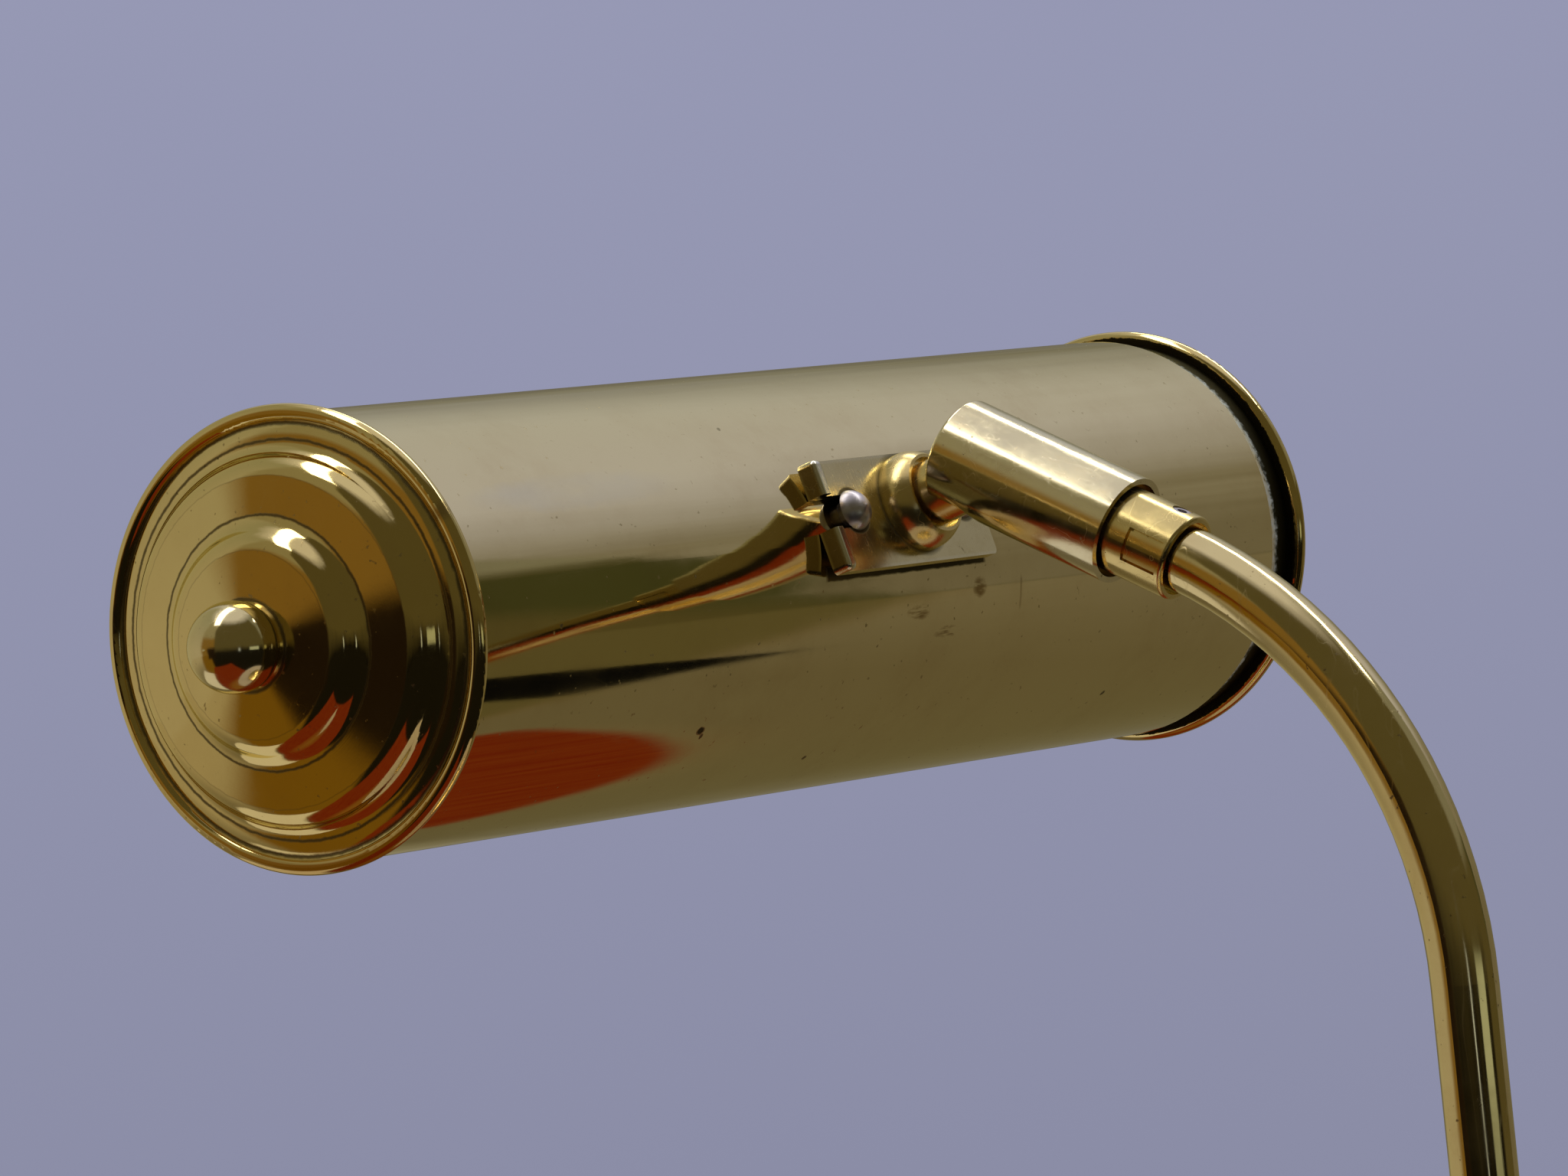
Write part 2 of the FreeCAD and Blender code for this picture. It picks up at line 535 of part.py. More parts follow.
# ---------------------------------------------------------------- ball joint tube
def joint_tube():
    """Drawn cup over the ball. A keyhole in its end and underside lets the neck swing down."""
    skin = Outline(0, 0).to(TUBE_R - EASE, 0).about(TUBE_R - EASE, EASE, TUBE_R, EASE)
    skin.to(TUBE_R, TUBE_L).to(TUBE_BORE, TUBE_L).to(TUBE_BORE, TUBE_WALL).to(0, TUBE_WALL)
    slot = block(-SLOT_R, SLOT_R, 0, TUBE_R + BEYOND, -BEYOND, SLOT_END)
    slot_end = Part.makeCylinder(SLOT_R, TUBE_R + BEYOND, V(0, 0, SLOT_END), Y)
    end_hole = cylinder(SLOT_R, -BEYOND, TUBE_WALL + BEYOND)
    return in_tube(skin.turned().cut([end_hole, slot, slot_end]))


def tube_bush():
    low = TUBE_BUSH_TOP - TUBE_BUSH_L
    return in_tube(tube(TUBE_BORE - SEAT, SLEEVE_R + RUN, low, TUBE_BUSH_TOP))


def ball_cup():
    """Cup with a round seat that holds the ball against the tube's end."""
    body = tube(TUBE_BORE - RUN, CUP_BORE_R, CUP_LOW, CUP_TOP)
    return in_tube(body.cut(Part.makeSphere(BALL_R + RUN, V(0, 0, BALL_AT))))


# ---------------------------------------------------------------- neck and saddle
def ball_stud():
    """Ball, neck and threaded stem turned in one piece and bored for the wires."""
    inside = stem_nut_top() - STEM_NUT_T - STEM_PROUD
    shoulder = math.sqrt(BALL_R ** 2 - NECK_R ** 2)
    skin = Outline(0, inside).to(STEM_R - EASE, inside).to(STEM_R, inside + EASE)
    skin.to(STEM_R, NECK_LOW).to(NECK_R, NECK_LOW).to(NECK_R, BALL_HEIGHT - shoulder)
    skin.arc(BALL_R, BALL_HEIGHT, 0, BALL_HEIGHT + BALL_R)
    flare = Part.makeCone(WIRE_R, BALL_R, BALL_R, V(0, 0, BALL_HEIGHT + EASE))
    wire_way = cylinder(WIRE_R, inside - BEYOND, BALL_HEIGHT + BEYOND)
    return in_shade(skin.turned().cut([wire_way, flare]))


def neck_boss():
    """Turned boss with a round side; the neck's foot is sunk in its top."""
    well = NECK_R + BOSS_GAP
    skin = Outline(STEM_R + RUN, PLATE_TOP).to(BOSS_R, PLATE_TOP).to(BOSS_R, PLATE_TOP + BOSS_EDGE)
    skin.bulge(BOSS_TOP_R, BOSS_TOP, BOSS_BULGE).to(well, BOSS_TOP).to(well, NECK_LOW)
    return in_shade(skin.to(STEM_R + RUN, NECK_LOW).turned())


def saddle_plate():
    """Flat plate with a lip across its near end, notched for the near screw."""
    y0, y1 = PLATE_DROP - PLATE_W / 2, PLATE_DROP + PLATE_W / 2
    lip_top = PLATE_TOP + LIP_H
    low, high = PLATE_LOW - BEYOND, lip_top + BEYOND
    plate = block(-PLATE_FAR, PLATE_NEAR, y0, y1, PLATE_LOW, PLATE_TOP)
    lip = block(PLATE_NEAR - LIP_T, PLATE_NEAR, y0, y1, PLATE_LOW, lip_top)
    plate = plate.fuse(lip).removeSplitter()
    upright = [e for e in plate.Edges if abs(abs(e.tangentAt(e.FirstParameter).z) - 1) < 1e-6]
    plate = plate.makeFillet(PLATE_CORNER_R, upright)
    crest = [e for e in plate.Edges if e.BoundBox.ZMin > lip_top - SEAT]
    plate = plate.makeFillet(LIP_TOP_R, crest)
    notch = block(SADDLE_NEAR, PLATE_NEAR + BEYOND, -NOTCH_W / 2, NOTCH_W / 2, low, high)
    holes = [cylinder(NOTCH_W / 2, low, high, SADDLE_NEAR),
             cylinder(STEM_R + RUN, low, high),
             cylinder(SADDLE_SHANK_R + SEAT, low, high, -SADDLE_FAR)]
    return in_shade(plate.cut([notch] + holes))


def saddle_screws():
    """Two round-headed screws that hold the plate to the shade."""
    tip = saddle_nut_top() - NUT_T - EASE
    skin = Outline(0, tip).to(SADDLE_SHANK_R, tip).to(SADDLE_SHANK_R, PLATE_TOP)
    top = PLATE_TOP + SADDLE_HEAD_H
    dome_r = (SADDLE_HEAD_R ** 2 + SADDLE_HEAD_H ** 2) / (2 * SADDLE_HEAD_H)
    skin.to(SADDLE_HEAD_R, PLATE_TOP).about(0, top - dome_r, 0, top)
    near, far = skin.turned(), skin.turned()
    near.translate(X * SADDLE_NEAR)
    far.translate(X * -SADDLE_FAR)
    return in_shade(Part.makeCompound([near, far]))


def seat_in_bore(half_width):
    """Height at which a flat face of this half width meets the shade's bore."""
    return math.sqrt(SHADE_BORE ** 2 - half_width ** 2) - SEAT


def saddle_nut_top():
    return seat_in_bore(NUT_AF / math.sqrt(3))


def stem_nut_top():
    return seat_in_bore(STEM_NUT_AF / math.sqrt(3))


def saddle_nuts():
    high = saddle_nut_top()
    near = hex_nut(NUT_AF, high - NUT_T, high, SADDLE_SHANK_R + SEAT)
    far = near.copy()
    near.translate(X * SADDLE_NEAR)
    far.translate(X * -SADDLE_FAR)
    return in_shade(Part.makeCompound([near, far]))


def stem_nut():
    high = stem_nut_top()
    return in_shade(hex_nut(STEM_NUT_AF, high - STEM_NUT_T, high, STEM_R + RUN))


# ---------------------------------------------------------------- shade
def shade_shell():
    """Rolled sheet, open opposite the saddle, with a hem along both edges of the opening."""
    half = math.radians(MOUTH_HALF_ANGLE)
    shell = along_x(tube(SHADE_R, SHADE_BORE, -FAR_END, NEAR_END))
    reach = SHADE_R + BEYOND
    x0, x1 = -FAR_END - BEYOND, NEAR_END + BEYOND
    corners = [V(x0, 0, 0), V(x0, -reach * math.tan(half), -reach), V(x0, reach * math.tan(half), -reach),
               V(x0, 0, 0)]
    shell = shell.cut(Part.Face(Part.makePolygon(corners)).extrude(X * (x1 - x0)))
    hem_at = SHADE_R - HEM_R
    hem_x = RIM_AT - RIM_T - CAP_SKIRT - PASS
    for side in (-1, 1):
        start = V(-hem_x, side * hem_at * math.sin(half), -hem_at * math.cos(half))
        shell = shell.fuse(Part.makeCylinder(HEM_R, 2 * hem_x, start, X))
    holes = [cylinder(STEM_R + RUN, 0, PLATE_TOP),
             cylinder(SADDLE_SHANK_R + SEAT, 0, PLATE_TOP, SADDLE_NEAR),
             cylinder(SADDLE_SHANK_R + SEAT, 0, PLATE_TOP, -SADDLE_FAR)]
    return in_shade(shell.cut(holes).removeSplitter())


def cap_skin():
    """Outer skin of a lid from its skirt to the knob's seat, about Z with the rim's crest at 0."""
    skirt_r = SHADE_BORE - CAP_PLAY
    roll = RIM_T / 2
    rim_r = CAP_R - roll
    curl = math.radians(RIM_CURL)
    skin = Outline(skirt_r, -CAP_SKIRT - RIM_T).to(skirt_r, -RIM_T).to(rim_r, -RIM_T)
    skin.about(rim_r, -roll, CAP_R, -roll).about(rim_r, -roll, rim_r, 0)
    skin.about(rim_r, -roll, rim_r - roll * math.sin(curl), roll * (math.cos(curl) - 1))
    skin.to(GROOVE_R, -GROOVE_DEEP).climb(RING_A_FOOT, FACE_EDGE_SLOPE, FACE_SLOPE)
    skin.climb(RING_A_SIDE, FACE_SLOPE, RING_A_SLOPE).climb(RING_A_TOP, RING_A_SLOPE, CONE_A_SLOPE)
    skin.slant(RING_B_FOOT, CONE_A_SLOPE)
    skin.climb(RING_B_SIDE, CONE_A_SLOPE, RING_B_SLOPE).climb(RING_B_TOP, RING_B_SLOPE, CONE_B_SLOPE)
    return skin.slant(KNOB_SEAT_R, CONE_B_SLOPE)


KNOB_SEAT_H = cap_skin().here.z


def end_cap():
    """Spun lid with two stepped rings, a rolled rim and a skirt."""
    return cap_skin().to(KNOB_STUD_R + SEAT, KNOB_SEAT_H).spun(CAP_WALL)


def end_knob():
    """Ball nut on a stud that holds the cap to the bridge."""
    inner = -BRIDGE_INSET - BRIDGE_T - KNOB_STUD_END
    foot_r = math.sqrt(KNOB_R ** 2 - KNOB_RISE ** 2)
    centre = KNOB_SEAT_H + KNOB_RISE
    skin = Outline(0, inner).to(KNOB_STUD_R, inner).to(KNOB_STUD_R, KNOB_SEAT_H).to(foot_r, KNOB_SEAT_H)
    return skin.arc(KNOB_R, centre, 0, centre + KNOB_R).turned()


def end_bridge():
    """Strap across the shade, held by two curved tabs; the knob's stud screws into it."""
    low, high = -BRIDGE_INSET - BRIDGE_T, -BRIDGE_INSET
    half = BRIDGE_W / 2
    outer = SHADE_BORE - SEAT
    strap = block(-half, half, -outer, outer, low, high).common(cylinder(outer, low, high))
    tabs = tube(outer, outer - BRIDGE_T, low - BRIDGE_TAB, high)
    tabs = tabs.common(block(-half, half, -outer, outer, low - BRIDGE_TAB, high))
    hole = cylinder(KNOB_STUD_R + SEAT, low - BEYOND, high + BEYOND)
    return strap.fuse(tabs).removeSplitter().cut(hole)


def near_end(shape):
    placed = along_x(shape)
    placed.translate(X * RIM_AT)
    return in_shade(placed)


def far_end(shape):
    placed = along_x(shape)
    placed.translate(X * RIM_AT)
    return in_shade(placed.mirror(V(), X))


# ---------------------------------------------------------------- lampholder and lamp
def on_shade_axis(shape, x):
    """Places a shape made about Z on the shade's axis, its height 0 at x."""
    placed = along_x(shape)
    placed.translate(X * x)
    return in_shade(placed)


def holder_bracket():
    """Stepped bracket from the far bridge to the lampholder's threaded neck."""
    side = HOLDER_R + BRACKET_CLEAR
    half = BRIDGE_W / 2
    face = block(HOLDER_FOOT - BRIDGE_T, HOLDER_FOOT, -HOLDER_R, side, -half, half)
    arm = block(BRIDGE_FACE, HOLDER_FOOT, side - BRIDGE_T, side, -half, half)
    foot = block(BRIDGE_FACE, BRIDGE_FACE + BRIDGE_T, side - BRIDGE_T, side + BRACKET_FOOT, -half, half)
    hole = Part.makeCylinder(HOLDER_NECK_R + SEAT, 2 * BRIDGE_T, V(HOLDER_FOOT - 1.5 * BRIDGE_T, 0, 0), X)
    return in_shade(face.fuse([arm, foot]).removeSplitter().cut(hole))


def bracket_rivet():
    """Round rivet head on the bracket's foot."""
    centre = V(BRIDGE_FACE + BRIDGE_T, HOLDER_R + BRACKET_CLEAR + BRACKET_FOOT / 2, 0)
    head = Part.makeSphere(RIVET_R, centre)
    keep = block(centre.x, centre.x + RIVET_R, 0, SHADE_BORE, -RIVET_R, RIVET_R)
    return in_shade(head.common(keep))


def lampholder():
    """Insulating holder: a threaded neck, a rounded shoulder and an open barrel."""
    neck = -BRIDGE_T - HOLDER_NUT_T
    top = HOLDER_MOUTH - HOLDER_FOOT
    floor = LAMP_FOOT - HOLDER_FOOT - E14_TIP_L - EASE
    bore = E14_R + RUN + CONTACT_WALL + SEAT
    skin = Outline(HOLDER_BORE_R, neck).to(HOLDER_NECK_R, neck).to(HOLDER_NECK_R, 0)
    skin.to(HOLDER_R - HOLDER_SHOULDER / 2, 0).bulge(HOLDER_R, HOLDER_SHOULDER, HOLDER_SHOULDER / 5)
    skin.to(HOLDER_R, top - EASE).about(HOLDER_R - EASE, top - EASE, HOLDER_R - EASE, top)
    skin.to(bore, top).to(bore, floor).to(HOLDER_BORE_R, floor)
    return on_shade_axis(skin.turned(), HOLDER_FOOT)


def holder_nut():
    nut = tube(HOLDER_NECK_R + HOLDER_NUT_T, HOLDER_NECK_R + SEAT, -BRIDGE_T - HOLDER_NUT_T, -BRIDGE_T)
    return on_shade_axis(nut, HOLDER_FOOT)


def holder_contact():
    """Brass liner that the lamp's cap turns in."""
    inner = E14_R + RUN
    liner = tube(inner + CONTACT_WALL, inner, LAMP_FOOT, HOLDER_MOUTH - LAMP_SUNK)
    return on_shade_axis(liner, 0)


def lamp_cap():
    """Screw cap with rounded thread crests and a centre contact."""
    skin = Outline(0, -E14_TIP_L).to(E14_TIP_R, -E14_TIP_L).to(E14_ROOT, 0)
    for i in range(E14_TURNS):
        skin.bulge(E14_ROOT, (i + 1) * E14_PITCH, E14_THREAD)
    return on_shade_axis(skin.to(E14_ROOT, E14_L).to(0, E14_L).turned(), LAMP_FOOT)


def bulb_glass():
    """Tubular bulb with a domed end and a neck drawn in to the cap."""
    def body(wall):
        r = BULB_R - wall
        neck = E14_ROOT - wall
        skin = Outline(0, wall).to(neck, wall).to(neck, E14_R / 2)
        skin.bulge(r, BULB_R, (BULB_R - E14_ROOT) / 5).to(r, BULB_L - BULB_R)
        return skin.about(0, BULB_L - BULB_R, 0, BULB_L - wall).turned()
    return on_shade_axis(body(0).cut(body(GLASS_T)), GLASS_LOW)


def bulb_filament():
    """Glass stem with two support wires that carry the filament."""
    stem_r = E14_ROOT / 2
    stem = Outline(0, 0).to(stem_r, 0).to(stem_r / 2, STEM_L).to(0, STEM_L).turned()
    frame = []
    for y in (-SUPPORT_GAP, SUPPORT_GAP):
        frame.append(cylinder(SUPPORT_R, STEM_L / 2, SUPPORT_L, 0, y))
    for z in (STEM_L / 2 + SUPPORT_R, SUPPORT_L - SUPPORT_R):
        frame.append(Part.makeCylinder(SUPPORT_R, 2 * SUPPORT_GAP, V(0, -SUPPORT_GAP, z), Y))
    return on_shade_axis(stem.fuse(frame), GLASS_LOW + GLASS_T + SEAT)


# ---------------------------------------------------------------- nodes
NODES = {
    "felt_pad": felt_pad(),
    "closing_plate": closing_plate(),
    "plate_screws": plate_screws(),
    "foot_weight": foot_weight(),
    "foot_cover": foot_cover(),
    "arm_bush": arm_bush(),
    "bush_nut": bush_nut(),
    "cable_grommet": cable_grommet(),
    "switch_body": switch_body(),
    "switch_nut": switch_nut(),
    "switch_button": switch_button(),
    "bent_pipe": bent_pipe(),
    "arm_ring": arm_ring(),
    "arm_washer": arm_washer(),
    "arm_nut": arm_nut(),
    "swivel_sleeve": swivel_sleeve(),
    "sleeve_screw": sleeve_screw(),
    "disc_springs": disc_springs(),
    "joint_tube": joint_tube(),
    "tube_bush": tube_bush(),
    "ball_cup": ball_cup(),
    "ball_stud": ball_stud(),
    "neck_boss": neck_boss(),
    "saddle_plate": saddle_plate(),
    "saddle_screws": saddle_screws(),
    "saddle_nuts": saddle_nuts(),
    "stem_nut": stem_nut(),
    "shade_shell": shade_shell(),
    "near_cap": near_end(end_cap()),
    "far_cap": far_end(end_cap()),
    "near_knob": near_end(end_knob()),
    "far_knob": far_end(end_knob()),
    "near_bridge": near_end(end_bridge()),
    "far_bridge": far_end(end_bridge()),
    "holder_bracket": holder_bracket(),
    "bracket_rivet": bracket_rivet(),
    "lampholder": lampholder(),
    "holder_nut": holder_nut(),
    "holder_contact": holder_contact(),
    "lamp_cap": lamp_cap(),
    "bulb_glass": bulb_glass(),
    "bulb_filament": bulb_filament(),
}

os.makedirs("parts", exist_ok=True)
for node, shape in NODES.items():
    shape.exportStep("parts/" + node + ".step")
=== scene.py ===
import json
import math
from collections import namedtuple

import bmesh
import bpy
from mathutils import Matrix, Vector


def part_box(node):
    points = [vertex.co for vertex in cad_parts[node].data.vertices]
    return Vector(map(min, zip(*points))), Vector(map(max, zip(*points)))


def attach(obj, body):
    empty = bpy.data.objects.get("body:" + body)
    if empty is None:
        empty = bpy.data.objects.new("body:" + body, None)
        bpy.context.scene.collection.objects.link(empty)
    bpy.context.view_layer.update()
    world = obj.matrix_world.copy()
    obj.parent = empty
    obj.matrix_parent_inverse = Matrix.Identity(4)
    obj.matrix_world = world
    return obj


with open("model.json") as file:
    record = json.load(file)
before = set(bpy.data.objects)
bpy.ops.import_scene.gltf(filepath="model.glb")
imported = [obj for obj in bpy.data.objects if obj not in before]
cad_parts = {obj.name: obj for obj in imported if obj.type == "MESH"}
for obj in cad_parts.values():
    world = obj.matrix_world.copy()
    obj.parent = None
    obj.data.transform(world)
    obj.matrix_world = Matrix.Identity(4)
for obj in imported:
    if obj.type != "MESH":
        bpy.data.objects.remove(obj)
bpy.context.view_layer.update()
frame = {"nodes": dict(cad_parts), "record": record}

MM = 0.001

# ---------------------------------------------------------------- places on the lamp
JOINTS = {joint["name"]: joint for joint in frame["record"]["behaviour"]["joints"]}
BALL = Vector(JOINTS["shade_tilt"]["pos_m"])
NECK_LENGTH = 49.28 * MM                        # from the shade's axis to the ball's middle
SHADE_ALONG = Vector((1, 0, 0))                 # towards the near cap
SHADE_UP = Vector(JOINTS["shade_turn"]["axis"])  # out of the shade, along the neck
SHADE_LIFT = SHADE_ALONG.cross(SHADE_UP)        # square to both
SHADE_MIDDLE = BALL - SHADE_UP * NECK_LENGTH


# ---------------------------------------------------------------- placing things
def put_in_scene(item):
    bpy.context.scene.collection.objects.link(item)


def object_from(bm, name, material):
    """Turn a finished bmesh into an object at the origin that wears the material."""
    mesh = bpy.data.meshes.new(name)
    bm.to_mesh(mesh)
    bm.free()
    mesh.materials.append(material)
    made = bpy.data.objects.new(name, mesh)
    put_in_scene(made)
    return made


def square_to(direction, back):
    """What is left of a direction square to back, one unit long."""
    return (direction - back * direction.dot(back)).normalized()


def stand_at(place, side, up, back):
    """Place and turn of a camera or lamp that faces away from back."""
    turn = Matrix((side, up, back)).transposed().to_4x4()
    return Matrix.Translation(place) @ turn


# ---------------------------------------------------------------- camera
CAMERA_AT = Vector((1021.2, 597.9, 293.0)) * MM
CAMERA_LOOK = Vector((-0.8210, -0.5707, -0.01535))
CAMERA_DOWN = Vector((0.0712, -0.0757, -0.9946))
LENS_MM, SENSOR_MM = 187.75, 36.0
CLIP_NEAR, CLIP_FAR = 0.01, 50.0


def make_camera():
    """A long lens at the shade's height, a little over a metre from the lamp."""
    data = bpy.data.cameras.new("camera")
    data.sensor_width = SENSOR_MM
    data.lens = LENS_MM
    data.clip_start, data.clip_end = CLIP_NEAR, CLIP_FAR
    camera = bpy.data.objects.new("camera", data)
    back = -CAMERA_LOOK.normalized()
    up = square_to(-CAMERA_DOWN, back)
    camera.matrix_world = stand_at(CAMERA_AT, up.cross(back), up, back)
    put_in_scene(camera)
    bpy.context.scene.camera = camera


# ---------------------------------------------------------------- node helpers
ShadePlace = namedtuple("ShadePlace", "along radius turn up lift")


class Nodes:
    """A short way to add and join shader nodes."""

    def __init__(self, tree):
        self.tree = tree
        tree.nodes.clear()

    def add(self, kind, values=None, **settings):
        """Add a node; a value that is a socket is joined, any other is set on its socket."""
        node = self.tree.nodes.new("ShaderNode" + kind)
        for name, value in settings.items():
            setattr(node, name, value)
        for name, value in (values or {}).items():
            socket = node.inputs[name]
            if isinstance(value, bpy.types.NodeSocket):
                self.tree.links.new(value, socket)
            else:
                socket.default_value = value
        return node

    def vector_math(self, operation, values):
        return self.add("VectorMath", values, operation=operation).outputs

    def object_place(self):
        """Place on the object, in metres."""
        return self.add("TexCoord").outputs["Object"]

    def object_xyz(self, scale=(1, 1, 1)):
        """Place for a noise, drawn out along an axis whose scale is small."""
        values = {"Vector": self.object_place(), "Scale": scale}
        return self.add("Mapping", values).outputs["Vector"]

    def noise(self, vector, scale, detail, rough):
        """Noise from 0 to 1, with scale of its blots to the unit of length."""
        values = {"Vector": vector, "Scale": scale, "Detail": detail, "Roughness": rough}
        return self.add("TexNoise", values).outputs["Fac"]

    def ramp(self, factor, low, high, at_low=0.0, at_high=1.0):
        """Goes from at_low to at_high as the factor goes from low to high."""
        values = {"Value": factor, "From Min": low, "From Max": high,
                  "To Min": at_low, "To Max": at_high}
        return self.add("MapRange", values).outputs["Result"]

    def spread(self, noise, at_low=0.0, at_high=1.0):
        """A noise, most of which lies in its middle, stretched between two values."""
        return self.ramp(noise, 0.3, 0.7, at_low, at_high)

    def math(self, operation, first, second=0.0):
        return self.add("Math", {0: first, 1: second}, operation=operation).outputs[0]

    def plus(self, *terms):
        total = terms[0]
        for term in terms[1:]:
            total = self.math("ADD", total, term)
        return total

    def times(self, *factors):
        product = factors[0]
        for factor in factors[1:]:
            product = self.math("MULTIPLY", product, factor)
        return product

    def minus(self, value, less):
        return self.math("SUBTRACT", value, less)

    def most(self, first, second):
        """The larger of two values, and so where either of two masks is."""
        return self.math("MAXIMUM", first, second)

    def away(self, value, middle):
        """How far a value is from the middle, on either side."""
        return self.math("ABSOLUTE", self.minus(value, middle))

    def length(self, first, second):
        """Length across two sides that are square to each other."""
        squares = self.plus(self.times(first, first), self.times(second, second))
        return self.math("SQRT", squares)

    def degrees(self, opposite, adjacent):
        """The angle whose two sides are given, in degrees."""
        return self.times(self.math("ARCTAN2", opposite, adjacent), math.degrees(1))

    def other(self, mask):
        """1 where the mask is 0."""
        return self.minus(1.0, mask)

    def mix(self, factor, first, second):
        """The first colour where the factor is 0, the second where it is 1."""
        node = self.add("Mix", {0: factor, 6: first, 7: second}, data_type="RGBA")
        return node.outputs[2]

    def bump(self, height, strength, distance, under=None):
        """Raise the surface by the height, on top of the bump under it."""
        values = {"Height": height, "Strength": strength, "Distance": distance}
        if under is not None:
            values["Normal"] = under
        return self.add("Bump", values).outputs["Normal"]

    def step(self, value, edge, soft):
        """0 below the edge, 1 above it, softened over the given half width."""
        return self.ramp(value, edge - soft, edge + soft)

    def band(self, value, low, high, soft):
        """1 between low and high, with soft ends."""
        return self.times(self.step(value, low, soft), self.step(value, high, -soft))

    def patch(self, first, second, centre, radii, soft=0.5):
        """1 inside an ellipse on two coordinates, with a soft rim."""
        terms = []
        for value, middle, radius in zip((first, second), centre, radii):
            scaled = self.math("DIVIDE", self.minus(value, middle), radius)
            terms.append(self.times(scaled, scaled))
        return self.step(self.plus(*terms), 1.0, -soft)

    def ragged(self, value, noise, amount):
        """A value pushed to and fro by a noise, by up to half the amount."""
        return self.plus(value, self.times(self.minus(noise, 0.5), amount))

    def hairlines(self, vector, scale, width):
        """Thin wandering lines, the level lines of a stretched noise."""
        level = self.away(self.noise(vector, scale, 2, 0.5), 0.5)
        return self.ramp(level, width, 0.0)

    def dot(self, vector, axis):
        """How far a vector reaches along an axis."""
        return self.vector_math("DOT_PRODUCT", {0: vector, 1: axis})["Value"]

    def less_place(self, vector, place):
        return self.vector_math("SUBTRACT", {0: vector, 1: place})["Vector"]

    def in_mm(self, vector):
        return self.vector_math("SCALE", {0: vector, "Scale": 1 / MM})["Vector"]

    def split(self, vector):
        parts = self.add("SeparateXYZ", {"Vector": vector})
        return [parts.outputs[axis] for axis in "XYZ"]

    def shade_place(self):
        """Where a point is on the shade: millimetres along it, out of its axis, up and
        across, and the turn in degrees from the saddle."""
        place = self.in_mm(self.less_place(self.object_place(), SHADE_MIDDLE))
        axes = (SHADE_ALONG, SHADE_UP, SHADE_LIFT)
        along, up, lift = (self.dot(place, axis) for axis in axes)
        return ShadePlace(along, self.length(up, lift), self.degrees(lift, up), up, lift)

    def surface(self, shader):
        output = self.add("OutputMaterial")
        self.tree.links.new(shader, output.inputs["Surface"])

    def principled(self, values):
        """Finish the material with one shader of these values."""
        self.surface(self.add("BsdfPrincipled", values).outputs["BSDF"])


def rgb(red, green, blue):
    return (red, green, blue, 1.0)


def grey(level):
    return rgb(level, level, level)


def new_material(name):
    material = bpy.data.materials.new(name)
    material.use_nodes = True
    return material, Nodes(material.node_tree)


# ---------------------------------------------------------------- brass, from new to tarnished
GOLD = rgb(0.80, 0.62, 0.27)
PALE_GOLD = rgb(0.80, 0.66, 0.36)
PIPE_GOLD = rgb(0.82, 0.66, 0.34)
TUBE_GOLD = rgb(0.84, 0.73, 0.48)
PLATE_GOLD = rgb(0.80, 0.69, 0.42)
BROWN = rgb(0.42, 0.24, 0.08)
OLIVE_BROWN = rgb(0.38, 0.27, 0.08)
TUBE_BROWN = rgb(0.52, 0.34, 0.14)
PLATE_BROWN = rgb(0.50, 0.34, 0.12)
SPECK_BROWN = rgb(0.16, 0.10, 0.04)
EDGE_TINT = rgb(0.95, 0.95, 0.74)       # lacquered brass keeps its colour at a low angle
CRUST_SHINE = 0.08                      # shows only where dry crust hides the metal

# how many blots or lines to the metre
PATCHES, CLOUDS, SPECKS, RUBBED, HAIRS = 45, 160, 900, 900, 170
SMEARS, SKIN_GRAIN, DENTS = 90, 2200, 28

RUBBED_DEPTH, SKIN_DEPTH = 0.02 * MM, 0.04 * MM


class Finish:
    """What a brass surface is made of, for its own wear and its painted shade and highlights
    to change.
    """

    def __init__(self, n, colour, roughness, height):
        self.n, self.colour, self.roughness, self.height = n, colour, roughness, height
        self.metal = 1.0

    def paint_tone(self, mask, tone, rough=0.0):
        """A tone of its own colour, duller than the metal by rough: tarnish mostly, and
        painted shade or highlight in a few places.
        """
        self.colour = self.n.mix(mask, self.colour, tone)
        if rough:
            self.dull(self.n.times(mask, rough))

    def dull(self, amount):
        """Make the surface rougher."""
        self.roughness = self.n.plus(self.roughness, amount)

    def dirt_and_shade(self, mask, tone):
        """Black that is still a little shiny: greasy grime, and in places painted shade in a
        gap or under an edge.
        """
        self.paint_tone(mask, tone, 0.35)

    def crust(self, mask, tone):
        """Dry pale crust that hides the metal."""
        self.paint_tone(mask, tone, 0.55)
        self.metal = self.n.other(mask)


